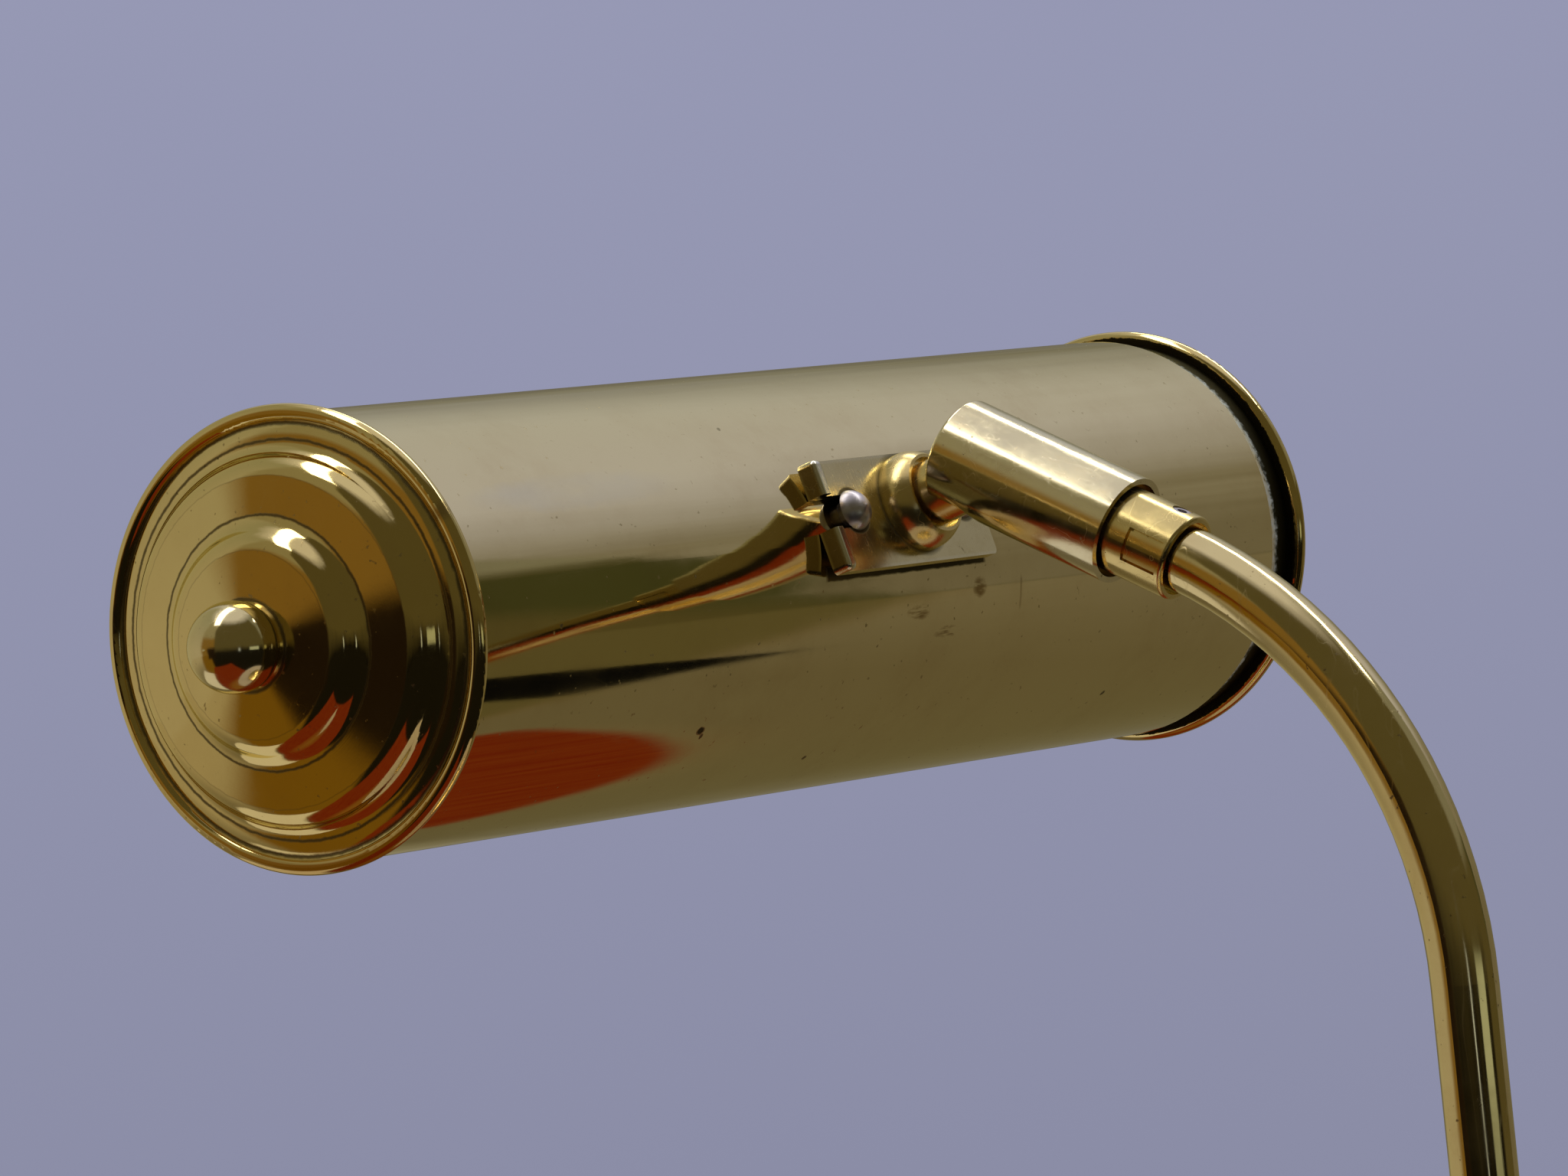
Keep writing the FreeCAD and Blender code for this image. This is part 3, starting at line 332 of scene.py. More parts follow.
def brass(name, bright, dull, rough=0.12, tarnish=0.35, stretch=(1, 1, 1), dents=0.0,
          specks=0.5, grain=0.0, hair=0.12, wear=None):
    """Polished brass under thin lacquer, with tarnish in patches, rubbed lines and specks.

    The lines run along the axis of stretch that is small. Tarnish, specks, grain and hair
    say how strong each is, and dents how deep, in metres.
    """
    material, n = new_material(name)
    place = n.object_xyz()
    patches = n.ramp(n.noise(place, PATCHES, 5, 0.6), 0.42, 0.75)
    clouds = n.spread(n.noise(place, CLOUDS, 4, 0.7))
    colour = n.mix(n.times(patches, clouds, tarnish), bright, dull)
    dots = n.ramp(n.noise(place, SPECKS, 2, 0.5), 0.70, 0.76)
    colour = n.mix(n.times(dots, specks), colour, SPECK_BROWN)
    stretched = n.object_xyz(stretch)
    lines = n.noise(stretched, RUBBED, 3, 0.7)
    hairs = n.hairlines(stretched, HAIRS, 0.006)
    smear = n.ramp(n.noise(place, SMEARS, 4, 0.65), 0.35, 0.75, rough * 0.8, rough * 1.7)
    roughness = n.plus(smear, n.times(dots, 0.25), n.times(hairs, hair))
    finish = Finish(n, colour, roughness, n.minus(lines, n.times(hairs, hair * 5)))
    if wear is not None:
        wear(finish)
    normal = n.bump(finish.height, 0.10, RUBBED_DEPTH)
    if grain:
        normal = n.bump(n.noise(place, SKIN_GRAIN, 3, 0.7), grain, SKIN_DEPTH, normal)
    if dents:
        normal = n.bump(n.noise(place, DENTS, 2, 0.4), 1.0, dents, normal)
    n.principled({"Base Color": finish.colour, "Metallic": finish.metal,
                  "Roughness": finish.roughness, "Specular IOR Level": CRUST_SHINE,
                  "Specular Tint": EDGE_TINT, "Normal": normal})
    return material


# ---------------------------------------------------------------- wear of each brass piece, with painted shade and highlights
# black grime, also used as the painted shadow under the saddle plate
GRIME_AND_SHADE = rgb(0.012, 0.008, 0.004)
# black in the far cap's joint: grime, and painted shadow in the gap
JOINT_BLACK = rgb(0.006, 0.005, 0.003)
VERDIGRIS = rgb(0.40, 0.42, 0.35)
POLISH_HAZE = rgb(0.62, 0.58, 0.46)
# painted shade on the shade round the saddle plate
ROUND_PLATE_SHADE = rgb(0.34, 0.22, 0.08)
RUB_BROWN = rgb(0.26, 0.13, 0.03)
SCRATCH_BROWN = rgb(0.30, 0.20, 0.08)
HEM_BROWN = rgb(0.22, 0.13, 0.05)
RIM_COPPER = rgb(0.42, 0.19, 0.03)
KNOCK_BROWN = rgb(0.24, 0.15, 0.05)
TUBE_STAIN = rgb(0.44, 0.27, 0.08)
# painted light on the saddle plate: a dark reflection on the lip's faces, highlights on the
# lip's and plate's edges
LIP_DARK_REFLECTION = rgb(0.33, 0.22, 0.07)
LIP_EDGE_HIGHLIGHT = rgb(0.80, 0.78, 0.72)
PLATE_EDGE_HIGHLIGHT = rgb(0.86, 0.78, 0.58)
HANDLED_BROWN = rgb(0.50, 0.36, 0.15)

# on the shade: mm along it from its middle, and degrees round it from the saddle
SMEAR_AT, SMEAR_SIZE = (78, 15), (22, 5)
# where a dark line is painted under the saddle plate's edge, for its shadow and grime
UNDER_PLATE_ALONG, UNDER_PLATE_TURN = (-18.6, 24.0), (-17.4, -13.5)
# where painted shade lies round the saddle plate
ROUND_PLATE_ALONG, ROUND_PLATE_TURN = (-21, 26.5), (-21, 19)
SCRATCH_ALONG, SCRATCH_TURN = (-28.8, -28.3), (-31, -22.5)
HEM_TURN = 141
DARK_MARKS = (((50.5, -54.7), (0.9, 1.1), 0.95), ((49.6, -56.4), (0.4, 0.8), 0.8),
              ((14.8, -72.0), (0.5, 0.8), 0.8), ((-63.6, -63.2), (0.5, 0.8), 0.8),
              ((91.0, -20.0), (0.35, 0.6), 0.7), ((33.0, 31.0), (0.4, 0.6), 0.6))
BROWN_RUBS = (((-0.3, -28.6), (2.6, 1.6)), ((-9.5, -35.1), (3.4, 1.4)),
              ((-17, -24.0), (1.6, 2.2)))


def shade_wear_and_shadow(finish):
    """Hazy polish smears, a dark line painted under the saddle plate's edge for its shadow and
    grime, painted shade round the plate, a few marks and scratches.
    """
    n = finish.n
    at = n.shade_place()
    crumbs = n.noise(n.object_xyz(), 420, 3, 0.6)
    ragged_turn = n.ragged(at.turn, crumbs, 3.0)
    fine_turn = n.ragged(at.turn, crumbs, 0.9)
    haze = n.noise(n.object_xyz((0.35, 1, 1)), 60, 4, 0.6)
    finish.dull(n.ramp(haze, 0.45, 0.75, 0.0, 0.04))

    smear = n.patch(at.along, ragged_turn, SMEAR_AT, SMEAR_SIZE)
    finish.paint_tone(n.times(smear, n.ramp(haze, 0.35, 0.6), 0.35), POLISH_HAZE, 0.25)
    # a dark line painted on the shade under the saddle plate's edge, for the shadow and grime
    # there
    under_plate = n.times(n.band(at.along, *UNDER_PLATE_ALONG, 0.4),
                          n.band(fine_turn, *UNDER_PLATE_TURN, 0.25))
    finish.dirt_and_shade(n.times(under_plate, 0.97), GRIME_AND_SHADE)
    # painted shade on the shade round the saddle plate, broken up by haze
    round_plate = n.times(n.band(at.along, *ROUND_PLATE_ALONG, 2.5),
                          n.band(ragged_turn, *ROUND_PLATE_TURN, 2.5))
    finish.paint_tone(n.times(round_plate, n.ramp(haze, 0.4, 0.65, 0.0, 0.22)), ROUND_PLATE_SHADE, 0.05)
    for centre, radii, strength in DARK_MARKS:
        mark = n.patch(at.along, ragged_turn, centre, radii)
        finish.dirt_and_shade(n.times(mark, strength), GRIME_AND_SHADE)
    for centre, radii in BROWN_RUBS:
        rub = n.times(n.patch(at.along, ragged_turn, centre, radii, 0.7),
                      n.ramp(finish.height, 0.42, 0.55))
        finish.paint_tone(n.times(rub, 0.75), RUB_BROWN, 0.2)
    scratch = n.times(n.band(at.along, *SCRATCH_ALONG, 0.12),
                      n.band(at.turn, *SCRATCH_TURN, 0.8))
    finish.paint_tone(n.times(scratch, n.ramp(haze, 0.3, 0.6, 0.1, 0.6)), SCRATCH_BROWN, 0.1)
    hem = n.step(n.away(ragged_turn, 0.0), HEM_TURN, 1.5)
    finish.paint_tone(n.times(hem, 0.4), HEM_BROWN, 0.15)


# creases: radius, half width and softness in mm, and how dark
CAP_CREASES = ((30.8, 0.28, 0.14, 0.765), (28.5, 0.22, 0.11, 0.765),
               (18.15, 0.20, 0.10, 0.765), (6.55, 0.30, 0.15, 0.765),
               (23.7, 0.10, 0.05, 0.2125), (13.4, 0.10, 0.05, 0.2125))
FOOT_CREASES = ((44.7, 0.35, 0.2, 0.8), (25.3, 0.35, 0.2, 0.8))


def lathe_lines(finish, radius, across, per_mm, depth):
    """Fine turned lines, which change slowly with the second coordinate."""
    n = finish.n
    flat = n.add("CombineXYZ", {"X": radius, "Y": across, "Z": 0.0}).outputs["Vector"]
    finish.height = n.plus(finish.height, n.times(n.noise(flat, per_mm, 3, 0.7), depth))


def packed_creases(finish, radius, creases, crumbs, wander):
    """Old polish left in turned creases, with crumbs to the metre on a wandering edge."""
    n = finish.n
    edge = n.ragged(radius, n.noise(n.object_xyz(), crumbs, 3, 0.6), wander)
    for crease, half, soft, strength in creases:
        groove = n.band(edge, crease - half, crease + half, soft)
        finish.dirt_and_shade(n.times(groove, strength), GRIME_AND_SHADE)


def turned_cap(finish):
    """Lathe lines and creases of a spun end cap; gives back the place on the shade."""
    at = finish.n.shade_place()
    lathe_lines(finish, at.radius, finish.n.times(at.turn, 0.004), 3.2, 1.4)
    packed_creases(finish, at.radius, CAP_CREASES, 520, 0.5)
    return at


# on the near cap's rim: mm out of the axis, and degrees round it
LOW_RIM_R, LOW_RIM_TURN = 31.6, (-130, -55)
KNOCK_R, KNOCK_TURN = 31.2, (10.5, 14.5)


def near_cap_wear(finish):
    """Creases, faint tarnish low on the rim and a small knock in it."""
    n = finish.n
    at = turned_cap(finish)
    low = n.times(n.step(at.radius, LOW_RIM_R, 0.5), n.band(at.turn, *LOW_RIM_TURN, 18))
    finish.paint_tone(n.times(low, 0.5), RIM_COPPER, 0.06)
    knock = n.times(n.step(at.radius, KNOCK_R, 0.3), n.band(at.turn, *KNOCK_TURN, 1.2))
    finish.paint_tone(n.times(knock, 0.55), KNOCK_BROWN, 0.25)
    finish.height = n.minus(finish.height, n.times(knock, 6.0))


# the far cap's joint with the shade: mm out of the axis and along the shade
SKIRT_INNER_R, SKIRT_OUTER_R, SKIRT_END = 30.2, 32.3, -108.0
CRUST_ALONG, BLACK_FROM = (-105.9, -104.1), -105.3


def far_cap_wear_and_shade(finish):
    """Years of polish and verdigris packed into the joint with the shade; its black band is
    also painted shadow in the gap.
    """
    n = finish.n
    at = turned_cap(finish)
    crumbs = n.noise(n.object_xyz(), 650, 4, 0.75)
    edge = n.ragged(at.along, crumbs, 2.4)
    ragged_radius = n.ragged(at.radius, crumbs, 0.8)
    skirt = n.times(n.step(at.radius, SKIRT_INNER_R, 0.4),
                    n.step(ragged_radius, SKIRT_OUTER_R, -0.3),
                    n.step(at.along, SKIRT_END, 4.0))
    skirt = n.math("GREATER_THAN", skirt, 0.02)
    # the black band is grime, and painted shadow in the gap between shade and cap
    finish.dirt_and_shade(n.times(skirt, n.step(edge, BLACK_FROM, -0.4), 0.97), JOINT_BLACK)
    crust = n.times(skirt, n.band(edge, *CRUST_ALONG, 0.35))
    finish.crust(n.times(crust, n.ramp(crumbs, 0.35, 0.6, 0.25, 0.95)), VERDIGRIS)


def tube_wear(finish):
    """Satin from handling, with brown left where the polish cloth seldom reaches."""
    n = finish.n
    handled = n.noise(n.object_xyz((2.5, 1, 1)), 120, 4, 0.7)
    finish.dull(n.ramp(handled, 0.4, 0.7, 0.0, 0.08))
    finish.paint_tone(n.times(n.ramp(handled, 0.55, 0.8), 0.35), TUBE_STAIN)


# on the saddle plate: mm along the shade, up from its axis and across
LIP_ALONG, LIP_FOOT, LIP_TOP = 21.2, 32.6, 35.05
PLATE_MIDDLE, LIP_HALF, PLATE_HALF = -0.6, 8.2, 8.25
SCREW_RINGS = ((15.5, 3.75, 0.9), (-13.0, 3.75, 0.7), (0.0, 8.15, 0.7))


def plate_wear_and_light(finish):
    """Painted highlights on the edges of plate and lip, a painted dark reflection on the lip's
    faces, grime round the screws and boss, and brown where handled.
    """
    n = finish.n
    at = n.shade_place()
    off_middle = n.away(at.lift, PLATE_MIDDLE)
    lip = n.times(n.step(at.along, LIP_ALONG, 0.15), n.step(at.up, LIP_FOOT, 0.2))
    lip_edges = n.most(n.step(at.up, LIP_TOP, 0.12), n.step(off_middle, LIP_HALF, 0.2))
    # painted dark reflection on the lip's faces
    finish.paint_tone(n.times(lip, n.other(lip_edges), 0.75), LIP_DARK_REFLECTION, 0.05)
    # painted highlight on the lip's edges
    finish.paint_tone(n.times(n.step(at.along, LIP_ALONG - 0.2, 0.2), lip_edges, 0.6), LIP_EDGE_HIGHLIGHT)
    # painted highlight along the plate's long edges
    plate_edge = n.step(off_middle, PLATE_HALF, 0.15)
    finish.paint_tone(n.times(plate_edge, 0.5), PLATE_EDGE_HIGHLIGHT)
    for along, radius, strength in SCREW_RINGS:
        ring = n.patch(at.along, at.lift, (along, 0), (radius, radius), 0.10)
        finish.dirt_and_shade(n.times(ring, strength), GRIME_AND_SHADE)
    handled = n.noise(n.object_xyz((1, 2, 2)), 260, 4, 0.7)
    finish.paint_tone(n.times(n.ramp(handled, 0.5, 0.75), 0.25), HANDLED_BROWN, 0.04)


def foot_wear(finish):
    """Lathe lines and old polish in the foot's creases."""
    n = finish.n
    x, y, z = n.split(n.in_mm(n.object_place()))
    radius = n.length(x, y)
    lathe_lines(finish, radius, z, 3.0, 1.2)
    packed_creases(finish, radius, FOOT_CREASES, 420, 0.7)


# ---------------------------------------------------------------- other materials
def steel(name, bright, dark, rough=0.3):
    """Dull plated steel with fine turning lines and dark specks."""
    material, n = new_material(name)
    place = n.object_xyz()
    colour = n.mix(n.ramp(n.noise(place, 250, 4, 0.6), 0.35, 0.7), bright, dark)
    lines = n.noise(n.object_xyz((1, 6, 6)), 1400, 2, 0.6)
    roughness = n.spread(n.noise(place, 300, 3, 0.6), rough * 0.8, rough * 1.3)
    n.principled({"Base Color": colour, "Metallic": 1.0, "Roughness": roughness,
                  "Normal": n.bump(lines, 0.2, 0.03 * MM)})
    return material


def cast_iron(name):
    """Sand-cast iron under thin dark paint."""
    material, n = new_material(name)
    place = n.object_xyz()
    colour = n.mix(n.ramp(n.noise(place, 70, 5, 0.6), 0.4, 0.7),
                   rgb(0.035, 0.035, 0.038), rgb(0.085, 0.060, 0.045))
    grain = n.noise(place, 700, 4, 0.7)
    n.principled({"Base Color": colour, "Roughness": n.spread(grain, 0.5, 0.75),
                  "Normal": n.bump(grain, 0.5, 0.3 * MM)})
    return material


def felt(name):
    """Dense green felt: a fine tangle with a soft nap."""
    material, n = new_material(name)
    tangle = n.noise(n.object_xyz(), 1500, 4, 0.8)
    colour = n.mix(n.spread(tangle), rgb(0.030, 0.075, 0.040), rgb(0.075, 0.150, 0.085))
    n.principled({"Base Color": colour, "Roughness": n.spread(tangle, 0.85, 1.0),
                  "Sheen Weight": 0.4, "Normal": n.bump(tangle, 0.6, 0.3 * MM)})
    return material


def moulded(name, dark, light, rough=0.35):
    """Moulded rubber or phenolic with a faint mottle and a fine skin."""
    material, n = new_material(name)
    place = n.object_xyz()
    colour = n.mix(n.ramp(n.noise(place, 220, 4, 0.6), 0.35, 0.7), dark, light)
    grain = n.noise(place, 600, 3, 0.6)
    n.principled({"Base Color": colour, "Roughness": n.spread(grain, rough * 0.8, rough * 1.3),
                  "Normal": n.bump(grain, 0.2, 0.1 * MM)})
    return material


def clear_glass(name, tint):
    """Thin bulb glass with faint draw lines."""
    material, n = new_material(name)
    ripple = n.noise(n.object_xyz((0.2, 1, 1)), 200, 2, 0.5)
    colour = n.mix(n.ramp(ripple, 0.4, 0.6), tint, grey(1.0))
    n.principled({"Base Color": colour, "Transmission Weight": 1.0, "IOR": 1.45,
                  "Roughness": n.spread(ripple, 0.0, 0.04),
                  "Normal": n.bump(ripple, 0.05, 0.1 * MM)})
    return material


def make_materials():
    """Every finish by the record's material slot, and two that have no slot of their own."""
    return {
        "felt": felt("green_felt"),
        "plate_steel": steel("plated_sheet", rgb(0.55, 0.55, 0.56), rgb(0.40, 0.40, 0.42)),
        "screw_steel": steel("dull_screw_steel", rgb(0.56, 0.52, 0.54),
                             rgb(0.34, 0.30, 0.30), 0.34),
        "weight_iron": cast_iron("painted_iron"),
        "foot_brass": brass("foot_brass", GOLD, BROWN, 0.10, 0.3, stretch=(1, 1, 6),
                            wear=foot_wear),
        "nut_steel": steel("plated_nut_steel", grey(0.60), rgb(0.42, 0.42, 0.43)),
        "grommet_rubber": moulded("grommet_rubber", grey(0.020), grey(0.045), 0.6),
        "switch_black": moulded("switch_phenolic", rgb(0.018, 0.017, 0.016),
                                rgb(0.040, 0.036, 0.034)),
        "switch_brass": brass("switch_brass", GOLD, BROWN, 0.16, 0.4),
        "button_brass": brass("button_brass", GOLD, BROWN, 0.12, 0.4),
        "pipe_brass": brass("pipe_brass", PIPE_GOLD, BROWN, 0.10, 0.35, stretch=(1, 1, 0.1),
                            specks=0.8),
        "nut_brass": brass("turned_nut_brass", GOLD, BROWN, 0.22, 0.5),
        "sleeve_brass": brass("sleeve_brass", GOLD, OLIVE_BROWN, 0.16, 0.45, wear=tube_wear),
        "spring_steel": steel("spring_steel", rgb(0.50, 0.50, 0.52),
                              rgb(0.30, 0.30, 0.33), 0.22),
        "tube_brass": brass("tube_brass", TUBE_GOLD, TUBE_BROWN, 0.12, 0.35,
                            stretch=(6, 1, 1), wear=tube_wear),
        "bush_brass": brass("bush_brass", GOLD, BROWN, 0.22, 0.5),
        "ball_brass": brass("ball_brass", GOLD, BROWN, 0.18, 0.5),
        "boss_brass": brass("boss_brass", GOLD, BROWN, 0.18, 0.45, grain=0.35),
        "plate_brass": brass("plate_brass", PLATE_GOLD, PLATE_BROWN, 0.16, 0.3,
                             stretch=(6, 1, 1), wear=plate_wear_and_light),
        "shade_brass": brass("shade_brass", PALE_GOLD, BROWN, 0.04, 0.26,
                             stretch=(0.15, 1, 1), dents=0.04 * MM, specks=0.45, hair=0.02,
                             wear=shade_wear_and_shadow),
        "cap_brass": brass("cap_brass", GOLD, BROWN, 0.07, 0.25, hair=0.04,
                           wear=near_cap_wear),
        "far_cap_brass": brass("far_cap_brass", GOLD, BROWN, 0.08, 0.3, hair=0.04,
                               wear=far_cap_wear_and_shade),
        "knob_brass": brass("knob_brass", PALE_GOLD, BROWN, 0.11, 0.25),
        "bridge_steel": steel("plated_strip", grey(0.58), grey(0.42)),
        "holder_black": moulded("holder_phenolic", rgb(0.020, 0.016, 0.013),
                                rgb(0.050, 0.040, 0.032), 0.3),
        "contact_brass": brass("contact_brass", GOLD, BROWN, 0.25, 0.5),
        "lamp_cap_metal": steel("lamp_cap_metal", grey(0.78), grey(0.60), 0.25),
        "bulb_glass": clear_glass("bulb_glass", rgb(0.94, 0.96, 0.95)),
        "filament": clear_glass("stem_glass", rgb(0.88, 0.90, 0.88)),
        "tungsten": steel("tungsten_wire", rgb(0.34, 0.33, 0.32), rgb(0.20, 0.19, 0.19)),
    }


def dress_nodes(materials):
    """Give each CAD node the finish of its slot; the far cap has a finish of its own."""
    for sub in frame["record"]["subparts"]:
        name = "far_cap_brass" if sub["node"] == "far_cap" else sub["material_slot"]
        node = frame["nodes"][sub["node"]]
        for slot in node.material_slots:
            slot.material = materials[name]
        if not node.material_slots:
            node.data.materials.append(materials[name])


# ---------------------------------------------------------------- filament
COIL_R, COIL_WIRE, COIL_PITCH = 0.55 * MM, 0.11 * MM, 0.55 * MM
COIL_REACH = 39 * MM                    # how far the coil runs along the bulb
COIL_STEPS, WIRE_SIDES = 10, 6          # to a turn of the coil, and round its wire
SUPPORT_OUT = 2.9 * MM                  # from the bulb's axis to its two support wires
TIP_SPARE = 0.5 * MM                    # of support wire past the coil's end


def make_filament_coil(material):
    """Coiled wire strung from one support wire of the bulb to the tip of the other."""
    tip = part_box("bulb_filament")[1][0] - TIP_SPARE
    first = SHADE_MIDDLE + SHADE_LIFT * SUPPORT_OUT + SHADE_ALONG * (tip - COIL_REACH)
    last = SHADE_MIDDLE - SHADE_LIFT * SUPPORT_OUT + SHADE_ALONG * tip
    run = last - first
    turns = round(run.length / COIL_PITCH)
    steps = COIL_STEPS * turns
    upright = Matrix.Rotation(math.radians(90), 3, "X")
    bm = bmesh.new()
    bmesh.ops.create_circle(bm, segments=WIRE_SIDES, radius=COIL_WIRE)
    bmesh.ops.rotate(bm, verts=bm.verts, cent=(0, 0, 0), matrix=upright)
    bmesh.ops.translate(bm, verts=bm.verts, vec=(0, 0, COIL_R))
    bmesh.ops.spin(bm, geom=bm.verts[:] + bm.edges[:], cent=(0, 0, 0), axis=SHADE_ALONG,
                   angle=math.tau * turns, dvec=SHADE_ALONG * (run.length / steps),
                   steps=steps)
    bmesh.ops.holes_fill(bm, edges=bm.edges, sides=WIRE_SIDES)
    bmesh.ops.recalc_face_normals(bm, faces=bm.faces)
    aim = SHADE_ALONG.rotation_difference(run).to_matrix().to_4x4()
    bmesh.ops.transform(bm, matrix=Matrix.Translation(first) @ aim, verts=bm.verts)
    coil = object_from(bm, "filament_coil", material)
    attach(coil, "shade")


# ---------------------------------------------------------------- room
WALL, WALL_CLOUD = rgb(0.31, 0.32, 0.46), rgb(0.295, 0.305, 0.445)
WALL_BELOW, WALL_ABOVE = rgb(0.245, 0.252, 0.360), rgb(0.50, 0.52, 0.68)
CEILING = rgb(0.62, 0.62, 0.66)


def make_world():
    """Pale lavender walls all round, brighter towards the ceiling."""
    world = bpy.data.worlds.new("studio")
    bpy.context.scene.world = world
    world.use_nodes = True
    n = Nodes(world.node_tree)
    direction = n.add("TexCoord").outputs["Generated"]
    height = n.split(direction)[2]
    tone = n.mix(n.spread(n.noise(direction, 6, 3, 0.5)), WALL_CLOUD, WALL)
    tone = n.mix(n.ramp(height, -0.13, 0.05), WALL_BELOW, tone)
    tone = n.mix(n.ramp(height, 0.05, 0.55), tone, WALL_ABOVE)
    tone = n.mix(n.ramp(height, 0.60, 0.90), tone, CEILING)
    background = n.add("Background", {"Color": tone, "Strength": 1.0})
    output = n.add("OutputWorld")
    n.tree.links.new(background.outputs["Background"], output.inputs["Surface"])


HEAD = Vector((0, -0.1, 0.27))          # about the shade's middle, which the lamps aim at
WARM_WHITE, WHITE = (1.0, 0.99, 0.97), (1.0, 1.0, 1.0)


def area_lamp(name, at, along, size, radiance, colour):
    """Soft rectangular lamp; radiance is how bright its face looks, 1 being white."""
    data = bpy.data.lights.new(name, "AREA")
    data.shape = "RECTANGLE"
    data.size, data.size_y = size
    data.energy = radiance * math.pi * size[0] * size[1]
    data.color = colour
    lamp = bpy.data.objects.new(name, data)
    back = (Vector(at) - HEAD).normalized()
    side = square_to(Vector(along), back)
    lamp.matrix_world = stand_at(at, side, back.cross(side), back)
    lamp.visible_camera = False
    put_in_scene(lamp)
    return lamp


def make_lamps():
    """Two long soft strips, and a wide weak lamp that polished metal doesn't show."""
    area_lamp("ceiling_tube", at=(-0.95, 0.05, 1.65), along=(0.157, 0.987, 0),
              size=(1.92, 0.22), radiance=6.0, colour=WARM_WHITE)
    area_lamp("desk_softbox", at=(0.25, -0.45, 1.8), along=(1, 0, 0),
              size=(1.6, 0.36), radiance=4.0, colour=WARM_WHITE)
    soft = area_lamp("soft_ceiling", at=(0, -0.1, 1.9), along=(1, 0, 0),
                     size=(2.0, 2.0), radiance=0.5, colour=WHITE)
    soft.visible_glossy = False


# ---------------------------------------------------------------- screen that metal sees
SCREEN_IN, SCREEN_R = 0.16, 1.6         # from the lamp's axis to the cloth's two edges
TABLE_Z, WALL_TOP, ROOF_R, ROOF_Z = 0.004, 2.6, 0.9, 3.2
SCREEN_STEPS = 72
AROUND_DRIFT, RISE_DRIFT, PLACE_DRIFT = 10.0, 8.0, 0.02  # degrees, degrees and metres

# a direction from the shade: around and rise are true, loose and high have a wandering edge
Way = namedtuple("Way", "offset around rise drift loose high")


def make_screen():
    """A glowing cloth for the unlit side of the room, hidden from the camera; only polished
    metal sees it, in reflections.

    Seen from the shade it is a pale wall to the right, then brown, then black in front,
    and a dark table below; where it is clear the lavender wall shows.
    """
    bm = bmesh.new()
    profile = [(SCREEN_IN, 0, TABLE_Z), (SCREEN_R, 0, TABLE_Z), (SCREEN_R, 0, WALL_TOP),
               (ROOF_R, 0, ROOF_Z)]
    points = [bm.verts.new(point) for point in profile]
    edges = [bm.edges.new(pair) for pair in zip(points, points[1:])]
    bmesh.ops.spin(bm, geom=points + edges, cent=(0, 0, 0), axis=(0, 0, 1), angle=math.tau,
                   steps=SCREEN_STEPS, use_merge=True)
    screen = object_from(bm, "dim_screen", screen_cloth())
    screen.visible_camera = False
    screen.visible_diffuse = False
    screen.visible_transmission = False
    screen.visible_shadow = False


def way_from_shade(n, place):
    """Degrees round the shade from +X and above level, to a place on the screen."""
    offset = n.less_place(place, HEAD)
    x, y, z = n.split(offset)
    around, rise = n.degrees(y, x), n.degrees(z, n.length(x, y))
    drift = n.minus(n.noise(offset, 2.5, 3, 0.6), 0.5)
    loose = n.plus(around, n.times(drift, AROUND_DRIFT))
    high = n.plus(rise, n.times(drift, RISE_DRIFT))
    return Way(offset, around, rise, drift, loose, high)


PALE_WALL, PALE_WALL_HIGH = rgb(0.40, 0.37, 0.28), rgb(0.30, 0.30, 0.22)
CURTAIN, CURTAIN_HIGH = rgb(0.195, 0.118, 0.025), rgb(0.26, 0.24, 0.15)
CABINET, CABINET_SIDE = rgb(0.006, 0.005, 0.003), rgb(0.085, 0.072, 0.028)
CABINET_TOP, POST = rgb(0.20, 0.20, 0.16), rgb(0.050, 0.052, 0.018)
# degrees round the shade where each begins, and degrees of rise from low to high
CURTAIN_FROM, CABINET_FROM, CABINET_SIDE_FROM = -44, -10, 112
WALL_RISE, CURTAIN_RISE, CABINET_RISE = (0, 50), (19, 27), (-8, 3)
CABINET_TOP_RISE = 13
POST_LEAN, POST_FROM = 1.8, 253.5       # rise to a degree round, and where it begins
# bright gaps beside the cabinet: middle and half width in degrees, and tone
GAPS = ((49, 1.5, rgb(0.59, 0.68, 0.80)), (87, 12.5, rgb(0.39, 0.43, 0.33)))
GAP_RISE = (-9, -1.5)


def upright_tone(n, way):
    """Walls and furniture, by direction from the shade."""
    wall = n.mix(n.ramp(way.high, *WALL_RISE), PALE_WALL, PALE_WALL_HIGH)
    curtain = n.mix(n.ramp(way.high, *CURTAIN_RISE), CURTAIN, CURTAIN_HIGH)
    lit = n.most(n.ramp(way.high, *CABINET_RISE), n.step(way.around, CABINET_SIDE_FROM, 3))
    cabinet = n.mix(lit, CABINET, CABINET_SIDE)
    top = n.times(n.step(way.loose, CABINET_SIDE_FROM, 4),
                  n.step(way.high, CABINET_TOP_RISE, 2))
    cabinet = n.mix(top, cabinet, CABINET_TOP)
    lean = n.plus(way.rise, n.times(way.around, POST_LEAN))
    post = n.times(n.step(lean, POST_FROM, 2.5), n.step(way.rise, CABINET_TOP_RISE, -1.5))
    cabinet = n.mix(post, cabinet, POST)
    for middle, half, tone in GAPS:
        gap = n.times(n.band(way.around, middle - half, middle + half, 1.0),
                      n.band(way.rise, *GAP_RISE, 1.0))
        cabinet = n.mix(gap, cabinet, tone)
    tone = n.mix(n.step(way.loose, CURTAIN_FROM, 3), wall, curtain)
    return n.mix(n.step(way.loose, CABINET_FROM, 1.5), tone, cabinet)


